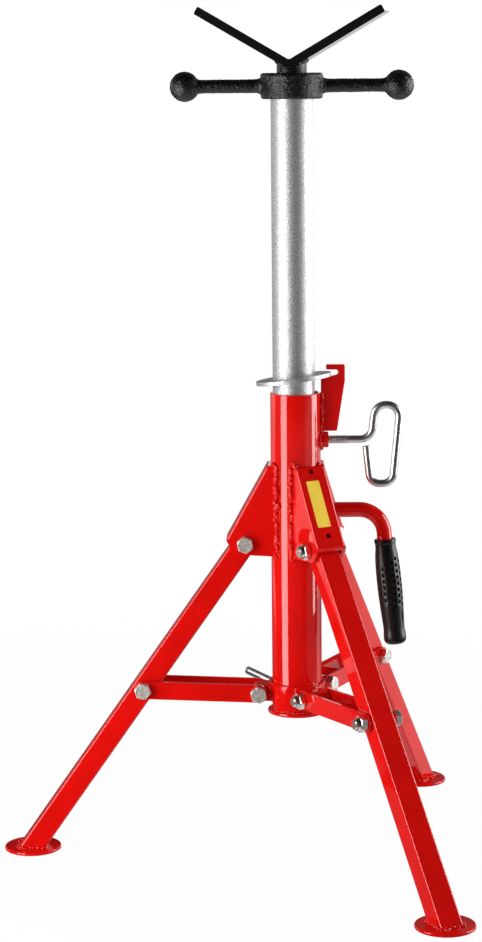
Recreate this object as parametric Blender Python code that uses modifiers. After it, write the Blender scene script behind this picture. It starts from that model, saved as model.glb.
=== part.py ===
"""Folding jack stand for pipe: a clamped mast on a tripod, with a screw-raised V head.

Metres, +Z up. The floor is z = 0 and the origin is the middle of the footprint's box.
The post stands off the origin along +X, because three feet at 120 degrees reach further
to one side of it than to the other.
"""

import math

import bmesh
import bpy
from mathutils import Matrix, Vector

# Fits and facets
SEAT_GAP = 0.0003            # between pieces that touch or are welded together
RUNNING_GAP = 0.0006         # between pieces that slide or turn on each other
HOLE_CLEARANCE = 0.0004      # radial room round a bolt or a pin
OVERRUN = 0.020              # how far a cut runs past what it cuts
TUBE_SEGMENTS = 36
SMALL_SEGMENTS = 16
BALL_SEGMENTS = 20
ARC_STEPS = 5
WIRE_ARC_STEPS = 7
MERGE_DISTANCE = 0.00001
SMOOTH_ANGLE = math.radians(35.0)
ROUND_END_SHARE = 0.93       # radius of a rounded end's corners, of half the width there

# Tripod: the leg pivot, the foot circle and the link pivots, in the plane of one leg
LEG_AZIMUTHS = {"left": math.radians(180.0), "front": math.radians(-60.0), "rear": math.radians(60.0)}
HEAD_SIDES = {"left": 1.0, "front": 1.0, "rear": -1.0}
LEG_PIVOT_RADIUS = 0.061
LEG_PIVOT_HEIGHT = 0.382
FOOT_CIRCLE_RADIUS = 0.3255
LEG_TO_LINK_PIVOT = 0.2185
COLLAR_PIVOT_RADIUS = 0.0465
COLLAR_REST_RISE = 0.0108    # of the collar's lower face over the flange, with the legs spread
COLLAR_PIVOT_RISE = 0.0110   # of the link's inner pivot over the collar's lower face
FOLDED_LEG_ANGLE = math.radians(8.0)

# Feet and legs
FOOT_RADIUS = 0.0345
FOOT_THICKNESS = 0.004
FOOT_EDGE = 0.0008
LEG_WIDTH = 0.0288           # across the plane of the leg
LEG_DEPTH = 0.0267           # in the plane of the leg
LEG_WALL = 0.002
LEG_CORNER_RADIUS = 0.0025
LEG_TOP_REACH = 0.012        # of the tube past its pivot

# Post
OUTER_TUBE_RADIUS = 0.030
OUTER_TUBE_WALL = 0.0028
OUTER_TUBE_TOP = 0.562
FLANGE_BOTTOM = 0.172
FLANGE_RADIUS = 0.0355
FLANGE_THICKNESS = 0.004
FLANGE_EDGE = 0.0008

# Mast
INNER_TUBE_RADIUS = 0.025
INNER_TUBE_WALL = 0.0025
INNER_TUBE_BOTTOM = 0.319
HUB_BOTTOM = 0.9078

# Brackets that carry the legs
SIDE_CLEARANCE = 0.001       # between a leg's side and the plate beside it
BRACKET_PLATE = 0.004
BRACKET_RISE = 0.095         # of the top edge over the leg's pivot
BRACKET_TOP_REACH = 0.004    # of the top edge past the post's surface
BRACKET_TOE_REACH = 0.023    # of the outer corner past the pivot
BRACKET_TOE_RISE = 0.005     # of the outer corner over the pivot
BRACKET_BELOW_PIVOT = 0.0125
BRACKET_SOLE_DROP = 0.004    # of the sole's line at the post's axis under its outer end
BRACKET_BEND_RADIUS = 0.003
BRACKET_TOE_RADIUS = 0.011
BRACKET_FOLD_STEPS = 3
BRACKET_HOLE_RADIUS = 0.0033
BRACKET_HOLE_SHARES = (0.06, 0.845)

# Links, with their folded channel
LINK_PLATE = 0.0035
LINK_DEPTH = 0.0217
LINK_WEB_START = 0.018       # from the collar pivot
LINK_WEB_END = 0.086

# Sliding collar
COLLAR_HEIGHT = 0.0232
COLLAR_EDGE = 0.0006
COLLAR_WALL = 0.0034
LUG_WIDTH = 0.025
LUG_END_RADIUS = 0.0095
LUG_TOE_RISE = 0.0008        # of the lug's root over the collar's lower face

# Bolts and nuts
BOLT_RADIUS = 0.006
BOLT_HEAD_FLATS = 0.018
BOLT_HEAD_HEIGHT = 0.0078
BOLT_HEAD_CHAMFER = 0.001
NUT_HEIGHT = 0.0115
BOLT_TIP_REACH = 0.002

# Lock pin in the collar
LOCK_PIN_AZIMUTH = math.radians(130.0)
LOCK_PIN_RADIUS = 0.004
LOCK_PIN_RISE = 0.0125       # over the collar's lower face
LOCK_PIN_ENTRY = 0.003       # of the pin into the post when it locks
LOCK_BOSS_RADIUS = 0.0075
LOCK_BOSS_REACH = 0.003      # past the collar's surface
LOCK_KNOB_RADIUS = 0.0062
LOCK_KNOB_LENGTH = 0.0085
LOCK_KNOB_EDGE = 0.0012
LOCK_LOOP_WIRE_RADIUS = 0.0019
LOCK_LOOP_LENGTH = 0.049      # from the knob's end
LOCK_LOOP_HALF_WIDTH = 0.0030
LOCK_LOOP_ROLL = math.radians(-70.0)
LOCK_LOOP_LIFT = math.radians(6.4)

# Catch plate, clamp ring, and the clamp screw with its boss
CATCH_THICKNESS = 0.006
CATCH_TOP_RISE = 0.0337      # over the post's top
CATCH_BOTTOM_DROP = 0.0460   # under the post's top
CATCH_WIDTH = 0.0286         # at the top, from the post's surface
CATCH_FOOT_WIDTH = 0.0190
CATCH_SHOULDER_DROP = 0.0192  # from the top to where the outer edge starts to lean in
CATCH_CORNER_RADIUS = 0.002
CATCH_HOOK_SETBACK = 0.0062  # of the hook's tip from the post's surface
CATCH_HOOK_THICKNESS = 0.0062
CATCH_NOTCH_HEIGHT = 0.0066
CATCH_NOTCH_DEPTH = 0.0206   # from the post's surface to the round end
CATCH_LIP_DROP = 0.0048      # of the lip's inner corner under the notch
RING_RADIUS = 0.045
RING_HOLE_RADIUS = 0.0260
RING_THICKNESS = 0.0048
RING_EDGE = 0.0006
RING_TILT = math.radians(7.4)
RING_ROLL = math.radians(2.7)    # its front edge up
BOSS_DROP = 0.0566           # of the screw's axis under the post's top
BOSS_RADIUS = 0.0095
BOSS_REACH = 0.0092
ROD_RADIUS = 0.0045
THREAD_RADIUS = 0.005
THREAD_LENGTH = 0.0385
SCREW_BEND_OUT = 0.0598      # from the post's surface to the bend into the loop
SCREW_BEND_RADIUS = 0.015
LOOP_TOP_RISE = 0.0413       # over the screw's axis
LOOP_TOP_START = 0.0045      # the loop's upper corners, from the bend
LOOP_TOP_WIDTH = 0.0301
LOOP_TOP_RADIUS = 0.0142
LOOP_BOTTOM_DROP = 0.0537
LOOP_BOTTOM_SETBACK = 0.0012
LOOP_BOTTOM_WIDTH = 0.0265
LOOP_BOTTOM_RADIUS = 0.0125
LOOP_END_SETBACK = 0.0060
LOOP_END_DROP = 0.0080

# Carrying handle and its grip
HANDLE_DROP = 0.1418         # of the handle's level run under the post's top
HANDLE_TUBE_RADIUS = 0.0091
HANDLE_TUBE_WALL = 0.002
HANDLE_BEND_OUT = 0.0723     # from the post's surface to the corner of the bend
HANDLE_BEND_RADIUS = 0.030
HANDLE_LEAN = math.radians(5.8)
HANDLE_BEND_STEPS = 10
GRIP_START = 0.0360          # from the corner of the bend, down the handle
GRIP_LENGTH = 0.1285
GRIP_END_WALL = 0.004
GRIP_LENGTH_SHARES = (0.0, 0.012, 0.060, 0.078, 0.16, 0.30, 0.46, 0.64, 0.82, 0.875, 0.93, 0.975, 1.0)
GRIP_FLANGE_RADIUS = 0.0128
GRIP_BODY_RADIUS = 0.0149
GRIP_RADIUS_SHARES = (0.80, 0.87, 0.87, 0.83, 0.93, 0.99, 1.0, 0.95, 0.87, 0.86, 0.91, 0.88, 0.70)

# Hand nut, its screw and the V head
HUB_RADIUS = 0.0371
HUB_HEIGHT = 0.0298
HUB_EDGE = 0.003
HUB_SOCKET_DEPTH = 0.0077
ARM_RADIUS = 0.0078
BALL_RADIUS = 0.0175
BALL_CENTRE = 0.1250
SCREW_RADIUS = 0.0135
SCREW_BELOW_HUB = 0.0945
SCREW_EDGE = 0.002
SPIGOT_RADIUS = 0.009
SPIGOT_LENGTH = 0.006
NECK_RADIUS = 0.0176
NECK_HEIGHT = 0.00385        # from the hub's top to where the V's lower faces would meet
V_ARM_LENGTH = 0.124
V_ARM_RISE = math.radians(30.0)
V_THICKNESS = 0.010
V_CROTCH_RADIUS = 0.004
V_BEND_RADIUS = 0.018
V_WIDTH = 0.040
V_EDGE_RADIUS = 0.0022
V_TURN = math.radians(-9.5)

# Places worked out from the sizes above
POST_X = FOOT_CIRCLE_RADIUS / 4
LEG_ANGLE = math.atan2(FOOT_CIRCLE_RADIUS - LEG_PIVOT_RADIUS, LEG_PIVOT_HEIGHT - FOOT_THICKNESS)
LEG_LENGTH = (LEG_PIVOT_HEIGHT - FOOT_THICKNESS - SEAT_GAP) / math.cos(LEG_ANGLE)
LINK_PIVOT_RADIUS = LEG_PIVOT_RADIUS + LEG_TO_LINK_PIVOT * math.sin(LEG_ANGLE)
LINK_PIVOT_HEIGHT = LEG_PIVOT_HEIGHT - LEG_TO_LINK_PIVOT * math.cos(LEG_ANGLE)
BRACKET_TOP = LEG_PIVOT_HEIGHT + BRACKET_RISE
FLANGE_TOP = FLANGE_BOTTOM + FLANGE_THICKNESS
COLLAR_BOTTOM = FLANGE_TOP + COLLAR_REST_RISE
COLLAR_PIVOT_HEIGHT = COLLAR_BOTTOM + COLLAR_PIVOT_RISE
COLLAR_BORE = OUTER_TUBE_RADIUS + RUNNING_GAP
COLLAR_RADIUS = COLLAR_BORE + COLLAR_WALL
LINK_LENGTH = math.hypot(LINK_PIVOT_RADIUS - COLLAR_PIVOT_RADIUS, LINK_PIVOT_HEIGHT - COLLAR_PIVOT_HEIGHT)
LINK_ANGLE = math.atan2(LINK_PIVOT_HEIGHT - COLLAR_PIVOT_HEIGHT, LINK_PIVOT_RADIUS - COLLAR_PIVOT_RADIUS)
FOLDED_LINK_REACH = LEG_PIVOT_RADIUS + LEG_TO_LINK_PIVOT * math.sin(FOLDED_LEG_ANGLE) - COLLAR_PIVOT_RADIUS
FOLDED_COLLAR_PIVOT = (LEG_PIVOT_HEIGHT - LEG_TO_LINK_PIVOT * math.cos(FOLDED_LEG_ANGLE)
                       + math.sqrt(LINK_LENGTH ** 2 - FOLDED_LINK_REACH ** 2))
COLLAR_TRAVEL = FOLDED_COLLAR_PIVOT - COLLAR_PIVOT_HEIGHT
FORK_HALF = LEG_WIDTH / 2 + SIDE_CLEARANCE
BRACKET_HALF = FORK_HALF + BRACKET_PLATE
LINK_HALF = FORK_HALF + LINK_PLATE
OUTER_TUBE_BORE = OUTER_TUBE_RADIUS - OUTER_TUBE_WALL
MAST_OFFSET = OUTER_TUBE_BORE - INNER_TUBE_RADIUS - SEAT_GAP
POST_SURFACE = OUTER_TUBE_RADIUS + SEAT_GAP
LOCK_PIN_HEIGHT = COLLAR_BOTTOM + LOCK_PIN_RISE
LOCK_KNOB_START = COLLAR_RADIUS + LOCK_BOSS_REACH + LOCK_PIN_ENTRY + SEAT_GAP
SCREW_AXIS_HEIGHT = OUTER_TUBE_TOP - BOSS_DROP
HANDLE_HEIGHT = OUTER_TUBE_TOP - HANDLE_DROP
NOTCH_BOTTOM = OUTER_TUBE_TOP + CATCH_TOP_RISE - CATCH_HOOK_THICKNESS - CATCH_NOTCH_HEIGHT
NOTCH_END = POST_SURFACE + CATCH_NOTCH_DEPTH - CATCH_NOTCH_HEIGHT / 2
HUB_TOP = HUB_BOTTOM + HUB_HEIGHT
V_LOWEST = HUB_TOP + NECK_HEIGHT
V_CROTCH = V_LOWEST + V_THICKNESS / math.cos(V_ARM_RISE)
INNER_TUBE_TOP = HUB_BOTTOM + HUB_SOCKET_DEPTH - SEAT_GAP

# Finish of each kind of piece: linear colour, roughness, metallic
FINISHES = {
    "red_paint": ((0.62, 0.010, 0.008), 0.28, 0.0),
    "zinc": ((0.66, 0.67, 0.68), 0.34, 1.0),
    "bright_bolt": ((0.72, 0.71, 0.70), 0.24, 1.0),
    "chrome": ((0.80, 0.80, 0.80), 0.12, 1.0),
    "black_cast": ((0.016, 0.016, 0.017), 0.55, 0.0),
    "black_plate": ((0.012, 0.012, 0.013), 0.42, 0.0),
    "rubber": ((0.014, 0.014, 0.015), 0.62, 0.0),
}


def clear_scene():
    """Remove every object that the file opened with."""
    for thing in list(bpy.data.objects):
        bpy.data.objects.remove(thing, do_unlink=True)


def new_collection(name):
    """Return a new collection linked to the scene."""
    collection = bpy.data.collections.new(name)
    bpy.context.scene.collection.children.link(collection)
    return collection


clear_scene()
PARTS = new_collection("pipe_jack_stand")
CUTTERS = new_collection("cutters")


def make_material(name, finish):
    """Return a Principled material with the finish's colour, roughness and metallic value."""
    colour, roughness, metallic = FINISHES[finish]
    material = bpy.data.materials.new(name)
    material.use_nodes = True
    shader = material.node_tree.nodes["Principled BSDF"]
    shader.inputs["Base Color"].default_value = (*colour, 1.0)
    shader.inputs["Roughness"].default_value = roughness
    shader.inputs["Metallic"].default_value = metallic
    return material


def add_object(name, mesh, collection, parent=None, location=(0, 0, 0), rotation=(0, 0, 0)):
    """Link a mesh as an object, placed in its parent's frame."""
    thing = bpy.data.objects.new(name, mesh)
    collection.objects.link(thing)
    thing.parent = parent
    thing.location = location
    thing.rotation_euler = rotation
    return thing


def add_part(name, mesh, finish, parent=None, location=(0, 0, 0), rotation=(0, 0, 0)):
    """Link a mesh as a piece of the stand, with a material of its own."""
    thing = add_object(name, mesh, PARTS, parent, location, rotation)
    mesh.materials.clear()
    mesh.materials.append(make_material(name + "_finish", finish))
    mesh.shade_smooth()
    mesh.set_sharp_from_angle(angle=SMOOTH_ANGLE)
    return thing


def add_empty(name, parent=None, location=(0, 0, 0), rotation=(0, 0, 0)):
    """Return an empty that carries other objects."""
    empty = bpy.data.objects.new(name, None)
    PARTS.objects.link(empty)
    empty.parent = parent
    empty.location = location
    empty.rotation_euler = rotation
    return empty


def mesh_from(build, name):
    """Return a mesh filled by a function that works on a bmesh."""
    work = bmesh.new()
    build(work)
    mesh = bpy.data.meshes.new(name)
    work.to_mesh(mesh)
    work.free()
    return mesh


def box_mesh(name, low, high):
    """Return a box between two corners."""
    size = Vector(high) - Vector(low)
    middle = (Vector(high) + Vector(low)) / 2
    matrix = Matrix.Translation(middle) @ Matrix.Diagonal((*size, 1.0))
    return mesh_from(lambda work: bmesh.ops.create_cube(work, size=1.0, matrix=matrix), name)


def rod_mesh(name, radius, start, end, segments=SMALL_SEGMENTS):
    """Return a capped cylinder from one point to another."""
    run = Vector(end) - Vector(start)
    turn = Vector((0, 0, 1)).rotation_difference(run).to_matrix().to_4x4()
    matrix = Matrix.Translation((Vector(start) + Vector(end)) / 2) @ turn

    def build(work):
        bmesh.ops.create_cone(work, cap_ends=True, segments=segments, radius1=radius,
                              radius2=radius, depth=run.length, matrix=matrix)

    return mesh_from(build, name)


def ball_mesh(name, radius, centre):
    """Return a sphere."""
    return mesh_from(lambda work: bmesh.ops.create_uvsphere(
        work, u_segments=BALL_SEGMENTS, v_segments=BALL_SEGMENTS // 2, radius=radius,
        matrix=Matrix.Translation(centre)), name)


def baked(source, name):
    """Return the evaluated mesh of an object, welded, and remove the object."""
    bpy.context.view_layer.update()
    shaped = source.evaluated_get(bpy.context.evaluated_depsgraph_get())
    mesh = bpy.data.meshes.new_from_object(shaped)
    mesh.name = name
    data = source.data
    bpy.data.objects.remove(source, do_unlink=True)
    if isinstance(data, bpy.types.Curve):
        bpy.data.curves.remove(data)
    work = bmesh.new()
    work.from_mesh(mesh)
    bmesh.ops.remove_doubles(work, verts=work.verts, dist=MERGE_DISTANCE)
    work.to_mesh(mesh)
    work.free()
    return mesh


def turned_mesh(name, profile, closed, segments=TUBE_SEGMENTS):
    """Return a profile of (radius, height) points turned about Z.

    The profile runs down its outer side. A closed one makes a ring, and an open one
    starts and ends on the axis.
    """
    mesh = bpy.data.meshes.new(name)
    points = [(radius, 0, height) for radius, height in profile]
    edges = [(index, index + 1) for index in range(len(points) - 1)]
    if closed:
        edges.append((len(points) - 1, 0))
    mesh.from_pydata(points, edges, [])
    source = add_object(name + "_profile", mesh, CUTTERS)
    screw = source.modifiers.new("turn", "SCREW")
    screw.axis = "Z"
    screw.steps = segments
    screw.render_steps = segments
    screw.use_merge_vertices = True
    screw.merge_threshold = MERGE_DISTANCE
    return baked(source, name)


def ring_profile(outer, inner, bottom, top, edge=0.0):
    """Return the closed profile of a ring, with its outer corners chamfered."""
    return [(inner, top), (outer - edge, top), (outer, top - edge), (outer, bottom + edge),
            (outer - edge, bottom), (inner, bottom)] if edge else [
                (inner, top), (outer, top), (outer, bottom), (inner, bottom)]


def rounded_path(corners, radii, closed=True, steps=ARC_STEPS):
    """Return a path through the corners, each turned with an arc of its radius."""
    points = []
    last = len(corners) - 1
    for index, corner in enumerate(corners):
        here = Vector(corner)
        radius = radii[index]
        at_end = not closed and index in (0, last)
        if at_end or radius <= 0:
            points.append(here)
            continue
        back = (Vector(corners[index - 1]) - here).normalized()
        ahead = (Vector(corners[(index + 1) % len(corners)]) - here).normalized()
        half = back.angle(ahead) / 2
        reach = radius / math.tan(half)
        centre = here + (back + ahead).normalized() * (radius / math.sin(half))
        first = here + back * reach - centre
        final = here + ahead * reach - centre
        swing = first.angle(final)
        for step in range(steps + 1):
            share = step / steps
            points.append(centre + (first * math.sin((1 - share) * swing)
                                    + final * math.sin(share * swing)) / math.sin(swing))
    return points


def extruded_mesh(name, outlines, low, high, upright=True):
    """Return flat outlines, the later ones holes, extruded from low to high.

    Upright outlines hold (x, z) points and are extruded along Y. Others hold (x, y)
    points and are extruded along Z.
    """
    curve = bpy.data.curves.new(name, "CURVE")
    curve.dimensions = "2D"
    curve.fill_mode = "BOTH"
    curve.extrude = (high - low) / 2
    for outline in outlines:
        spline = curve.splines.new("POLY")
        spline.points.add(len(outline) - 1)
        for point, place in zip(spline.points, outline):
            point.co = (place[0], place[1], 0, 1)
        spline.use_cyclic_u = True
    mesh = baked(add_object(name, curve, CUTTERS), name)
    mesh.transform(Matrix.Translation((0, 0, (high + low) / 2)))
    if upright:
        mesh.transform(Matrix.Rotation(math.radians(90.0), 4, "X"))
        mesh.transform(Matrix.Translation((0, high + low, 0)))
    return mesh


def wire_mesh(name, points, radius, resolution, wall=0.0):
    """Return a round wire along 3D points, or a tube where a wall is given."""
    curve = bpy.data.curves.new(name, "CURVE")
    curve.dimensions = "3D"
    curve.bevel_depth = radius
    curve.bevel_resolution = resolution
    curve.use_fill_caps = wall <= 0
    spline = curve.splines.new("POLY")
    spline.points.add(len(points) - 1)
    for point, place in zip(spline.points, points):
        point.co = (*place, 1)
    source = add_object(name, curve, CUTTERS)
    mesh = baked(source, name)
    if wall > 0:
        shell = add_object(name + "_shell", mesh, CUTTERS)
        solidify = shell.modifiers.new("wall", "SOLIDIFY")
        solidify.thickness = wall
        solidify.offset = -1.0
        mesh = baked(shell, name)
    return mesh


def bevel_edges(mesh, chosen, width, steps):
    """Round the edges for which the function chosen is true."""
    work = bmesh.new()
    work.from_mesh(mesh)
    edges = [edge for edge in work.edges if chosen(edge)]
    bmesh.ops.bevel(work, geom=edges, offset=width, segments=steps, profile=0.5, affect="EDGES",
                    clamp_overlap=True)
    work.to_mesh(mesh)
    work.free()


def combine(thing, meshes, operation):
    """Cut meshes out of an object, or join them to it; they share its frame."""
    for index, mesh in enumerate(meshes):
        other = add_object(f"{thing.name}_{operation.lower()}_{index}", mesh, CUTTERS)
        other.parent = thing
        other.hide_render = True
        other.display_type = "WIRE"
        boolean = thing.modifiers.new(f"{operation.lower()}_{index}", "BOOLEAN")
        boolean.operation = operation
        boolean.solver = "EXACT"
        boolean.object = other


def cut(thing, *meshes):
    """Cut meshes out of an object."""
    combine(thing, meshes, "DIFFERENCE")


def join(thing, *meshes):
    """Join meshes to an object."""
    combine(thing, meshes, "UNION")


def cross_hole(name, radius, x, z, half):
    """Return a cutter for a hole along Y."""
    return rod_mesh(name, radius, (x, -half - OVERRUN, z), (x, half + OVERRUN, z))


def make_post(root):
    """Make the outer tube and the flange at its foot."""
    tube = add_part("outer_tube", turned_mesh(
        "outer_tube", ring_profile(OUTER_TUBE_RADIUS, OUTER_TUBE_BORE, FLANGE_TOP + SEAT_GAP, OUTER_TUBE_TOP),
        True), "red_paint", root)
    direction = Vector((math.cos(LOCK_PIN_AZIMUTH), math.sin(LOCK_PIN_AZIMUTH), 0))
    for height in (LOCK_PIN_HEIGHT, LOCK_PIN_HEIGHT + COLLAR_TRAVEL):
        level = Vector((0, 0, height))
        cut(tube, rod_mesh("lock_hole", LOCK_PIN_RADIUS + HOLE_CLEARANCE, level,
                           level + direction * (OUTER_TUBE_RADIUS + OVERRUN)))
    cut(tube, rod_mesh("screw_hole", THREAD_RADIUS + HOLE_CLEARANCE, (0, 0, SCREW_AXIS_HEIGHT),
                       (OUTER_TUBE_RADIUS + OVERRUN, 0, SCREW_AXIS_HEIGHT)))
    add_part("base_flange", turned_mesh(
        "base_flange", ring_profile(FLANGE_RADIUS, OUTER_TUBE_BORE, FLANGE_BOTTOM, FLANGE_TOP, FLANGE_EDGE),
        True), "red_paint", root)


def make_bracket(side, frame):
    """Make the folded bracket that a leg is pinned in, in the frame of the leg's plane."""
    top_x = OUTER_TUBE_RADIUS + BRACKET_TOP_REACH
    toe_x = LEG_PIVOT_RADIUS + BRACKET_TOE_REACH
    toe_z = LEG_PIVOT_HEIGHT + BRACKET_TOE_RISE
    sole_z = LEG_PIVOT_HEIGHT - BRACKET_BELOW_PIVOT
    corners = [(0, BRACKET_TOP), (top_x, BRACKET_TOP), (toe_x, toe_z),
               (toe_x - BRACKET_TOE_RADIUS, sole_z), (0, sole_z - BRACKET_SOLE_DROP)]
    radii = [0, BRACKET_BEND_RADIUS, BRACKET_BEND_RADIUS, BRACKET_TOE_RADIUS, 0]
    mesh = extruded_mesh(side + "_bracket", [rounded_path(corners, radii)], -BRACKET_HALF, BRACKET_HALF)
    slope = (Vector((toe_x, toe_z)) - Vector((top_x, BRACKET_TOP))).normalized()
    outward = Vector((-slope.y, slope.x))

    def on_slope(edge):
        """Tell whether an edge runs down the outer slope of a side."""
        ends = [vertex.co for vertex in edge.verts]
        same_side = (ends[0].y > 0) == (ends[1].y > 0)
        distances = [abs((Vector((end.x, end.z)) - Vector((top_x, BRACKET_TOP))).dot(outward)) for end in ends]
        return same_side and max(distances) < MERGE_DISTANCE

    bevel_edges(mesh, on_slope, BRACKET_BEND_RADIUS, BRACKET_FOLD_STEPS)
    bracket = add_part(side + "_bracket", mesh, "red_paint", frame)
    inward = -outward * BRACKET_PLATE
    inner = [(-OVERRUN, BRACKET_TOP + OVERRUN), (top_x - OVERRUN * slope.x, BRACKET_TOP - OVERRUN * slope.y),
             (toe_x + OVERRUN * slope.x, toe_z + OVERRUN * slope.y),
             (toe_x + OVERRUN * slope.x, sole_z - OVERRUN), (-OVERRUN, sole_z - OVERRUN)]
    inner[1] = (inner[1][0] + inward.x, inner[1][1] + inward.y)
    inner[2] = (inner[2][0] + inward.x, inner[2][1] + inward.y)
    cut(bracket,
        extruded_mesh("pocket", [inner], -FORK_HALF, FORK_HALF),
        rod_mesh("post", POST_SURFACE, (0, 0, sole_z - OVERRUN), (0, 0, BRACKET_TOP + OVERRUN), TUBE_SEGMENTS * 2),
        cross_hole("bolt_hole", BOLT_RADIUS + HOLE_CLEARANCE, LEG_PIVOT_RADIUS, LEG_PIVOT_HEIGHT, BRACKET_HALF))
    if side == "front":
        start = Vector((top_x, BRACKET_TOP))
        for share in BRACKET_HOLE_SHARES:
            spot = start.lerp(Vector((toe_x, toe_z)), share)
            middle = Vector((spot.x, 0, spot.y))
            reach = Vector((outward.x, 0, outward.y)) * OVERRUN / 2
            cut(bracket, rod_mesh("web_hole", BRACKET_HOLE_RADIUS, middle - reach, middle + reach))
    return bracket


def make_catch(root):
    """Make the hooked plate that the clamp ring bears on."""
    top = OUTER_TUBE_TOP + CATCH_TOP_RISE
    outer_x = POST_SURFACE + CATCH_WIDTH
    hook_x = POST_SURFACE + CATCH_HOOK_SETBACK
    notch_top = NOTCH_BOTTOM + CATCH_NOTCH_HEIGHT
    half = CATCH_NOTCH_HEIGHT / 2
    foot = OUTER_TUBE_TOP - CATCH_BOTTOM_DROP
    corners = [(hook_x, top), (outer_x, top), (outer_x, top - CATCH_SHOULDER_DROP),
               (POST_SURFACE + CATCH_FOOT_WIDTH, foot), (POST_SURFACE, foot),
               (POST_SURFACE, NOTCH_BOTTOM - CATCH_LIP_DROP), (NOTCH_END, NOTCH_BOTTOM),
               (NOTCH_END + half, NOTCH_BOTTOM), (NOTCH_END + half, notch_top), (hook_x, notch_top)]
    radius = CATCH_CORNER_RADIUS
    nose = half * ROUND_END_SHARE
    radii = [radius, radius, radius, radius, 0, 0, 0, nose, nose, radius]
    add_part("catch_plate", extruded_mesh("catch_plate", [rounded_path(corners, radii)],
                                          -CATCH_THICKNESS / 2, CATCH_THICKNESS / 2), "red_paint", root)


def make_clamp_ring(root):
    """Make the plate ring that tilts and bites on the mast, on an empty at its bearing edge."""
    drop = RING_THICKNESS / 2
    edge_out = Vector((RING_RADIUS * math.cos(RING_TILT) + drop * math.sin(RING_TILT), 0,
                       RING_RADIUS * math.sin(RING_TILT) - drop * math.cos(RING_TILT)))
    bearing_x = edge_out.x - MAST_OFFSET
    lip_run = NOTCH_END - POST_SURFACE
    lip_z = NOTCH_BOTTOM - CATCH_LIP_DROP * (NOTCH_END - bearing_x) / lip_run
    roll_room = CATCH_THICKNESS / 2 * math.sin(RING_ROLL)
    bearing = Vector((bearing_x, 0, lip_z + SEAT_GAP + roll_room))
    pivot = add_empty("clamp_ring_pivot", root, bearing, (0, -RING_TILT, 0))
    mesh = turned_mesh("clamp_ring", ring_profile(RING_RADIUS, RING_HOLE_RADIUS, -drop, drop, RING_EDGE), True)
    mesh.transform(Matrix.Translation((-RING_RADIUS, 0, drop)) @ Matrix.Rotation(-RING_ROLL, 4, "X"))
    add_part("clamp_ring", mesh, "zinc", pivot)


def make_clamp_screw(root):
    """Make the screw's boss, and the screw with its bent wire handle, on the screw's axis."""
    axis = add_empty("clamp_screw_axis", root, (0, 0, SCREW_AXIS_HEIGHT))
    boss = add_part("clamp_screw_boss", rod_mesh("clamp_screw_boss", BOSS_RADIUS, (0, 0, 0),
                                                 (OUTER_TUBE_RADIUS + BOSS_REACH, 0, 0), TUBE_SEGMENTS),
                    "red_paint", axis)
    cut(boss,
        rod_mesh("post", POST_SURFACE, (0, 0, -OVERRUN), (0, 0, OVERRUN), TUBE_SEGMENTS * 2),
        rod_mesh("thread", THREAD_RADIUS + HOLE_CLEARANCE, (-OVERRUN, 0, 0),
                 (OUTER_TUBE_RADIUS + BOSS_REACH + OVERRUN, 0, 0)))
    tip = INNER_TUBE_RADIUS - MAST_OFFSET + SEAT_GAP
    bend = POST_SURFACE + SCREW_BEND_OUT
    corners = [(tip, 0), (bend, 0), (bend + LOOP_TOP_START, LOOP_TOP_RISE),
               (bend + LOOP_TOP_START + LOOP_TOP_WIDTH, LOOP_TOP_RISE),
               (bend - LOOP_BOTTOM_SETBACK + LOOP_BOTTOM_WIDTH, -LOOP_BOTTOM_DROP),
               (bend - LOOP_BOTTOM_SETBACK, -LOOP_BOTTOM_DROP), (bend - LOOP_END_SETBACK, -LOOP_END_DROP)]
    radii = [0, SCREW_BEND_RADIUS, LOOP_TOP_RADIUS, LOOP_TOP_RADIUS, LOOP_BOTTOM_RADIUS, LOOP_BOTTOM_RADIUS, 0]
    path = [(point.x, 0, point.y) for point in rounded_path(corners, radii, False, WIRE_ARC_STEPS)]
    screw = add_part("clamp_screw", wire_mesh("clamp_screw", path, ROD_RADIUS, 3), "chrome", axis)
    join(screw, rod_mesh("thread", THREAD_RADIUS, (tip + SEAT_GAP, 0, 0), (tip + THREAD_LENGTH, 0, 0)))


def make_handle(root):
    """Make the bent carrying handle and the grip on it."""
    lean = Vector((math.sin(HANDLE_LEAN), -math.cos(HANDLE_LEAN)))
    corner = Vector((POST_SURFACE + HANDLE_BEND_OUT, HANDLE_HEIGHT))
    tube_end = GRIP_START + GRIP_LENGTH - GRIP_END_WALL - SEAT_GAP
    corners = [(0, HANDLE_HEIGHT), corner, corner + lean * tube_end]
    path = rounded_path(corners, [0, HANDLE_BEND_RADIUS, 0], False, HANDLE_BEND_STEPS)
    mesh = wire_mesh("carry_handle", [(point.x, 0, point.y) for point in path], HANDLE_TUBE_RADIUS, 4,
                     HANDLE_TUBE_WALL)
    handle = add_part("carry_handle", mesh, "red_paint", root)
    cut(handle, rod_mesh("post", POST_SURFACE, (0, 0, HANDLE_HEIGHT - OVERRUN), (0, 0, HANDLE_HEIGHT + OVERRUN),
                         TUBE_SEGMENTS * 2))
    bore = HANDLE_TUBE_RADIUS + SEAT_GAP
    profile = [(0, GRIP_END_WALL - GRIP_LENGTH), (bore, GRIP_END_WALL - GRIP_LENGTH), (bore, 0)]
    for along, wide in zip(GRIP_LENGTH_SHARES, GRIP_RADIUS_SHARES):
        profile.append((wide * GRIP_BODY_RADIUS, -along * GRIP_LENGTH))
    profile.append((0, -GRIP_LENGTH))
    start = corner + lean * GRIP_START
    add_part("handle_grip", turned_mesh("handle_grip", profile, False), "rubber", root,
             (start.x, 0, start.y), (0, -HANDLE_LEAN, 0))


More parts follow.
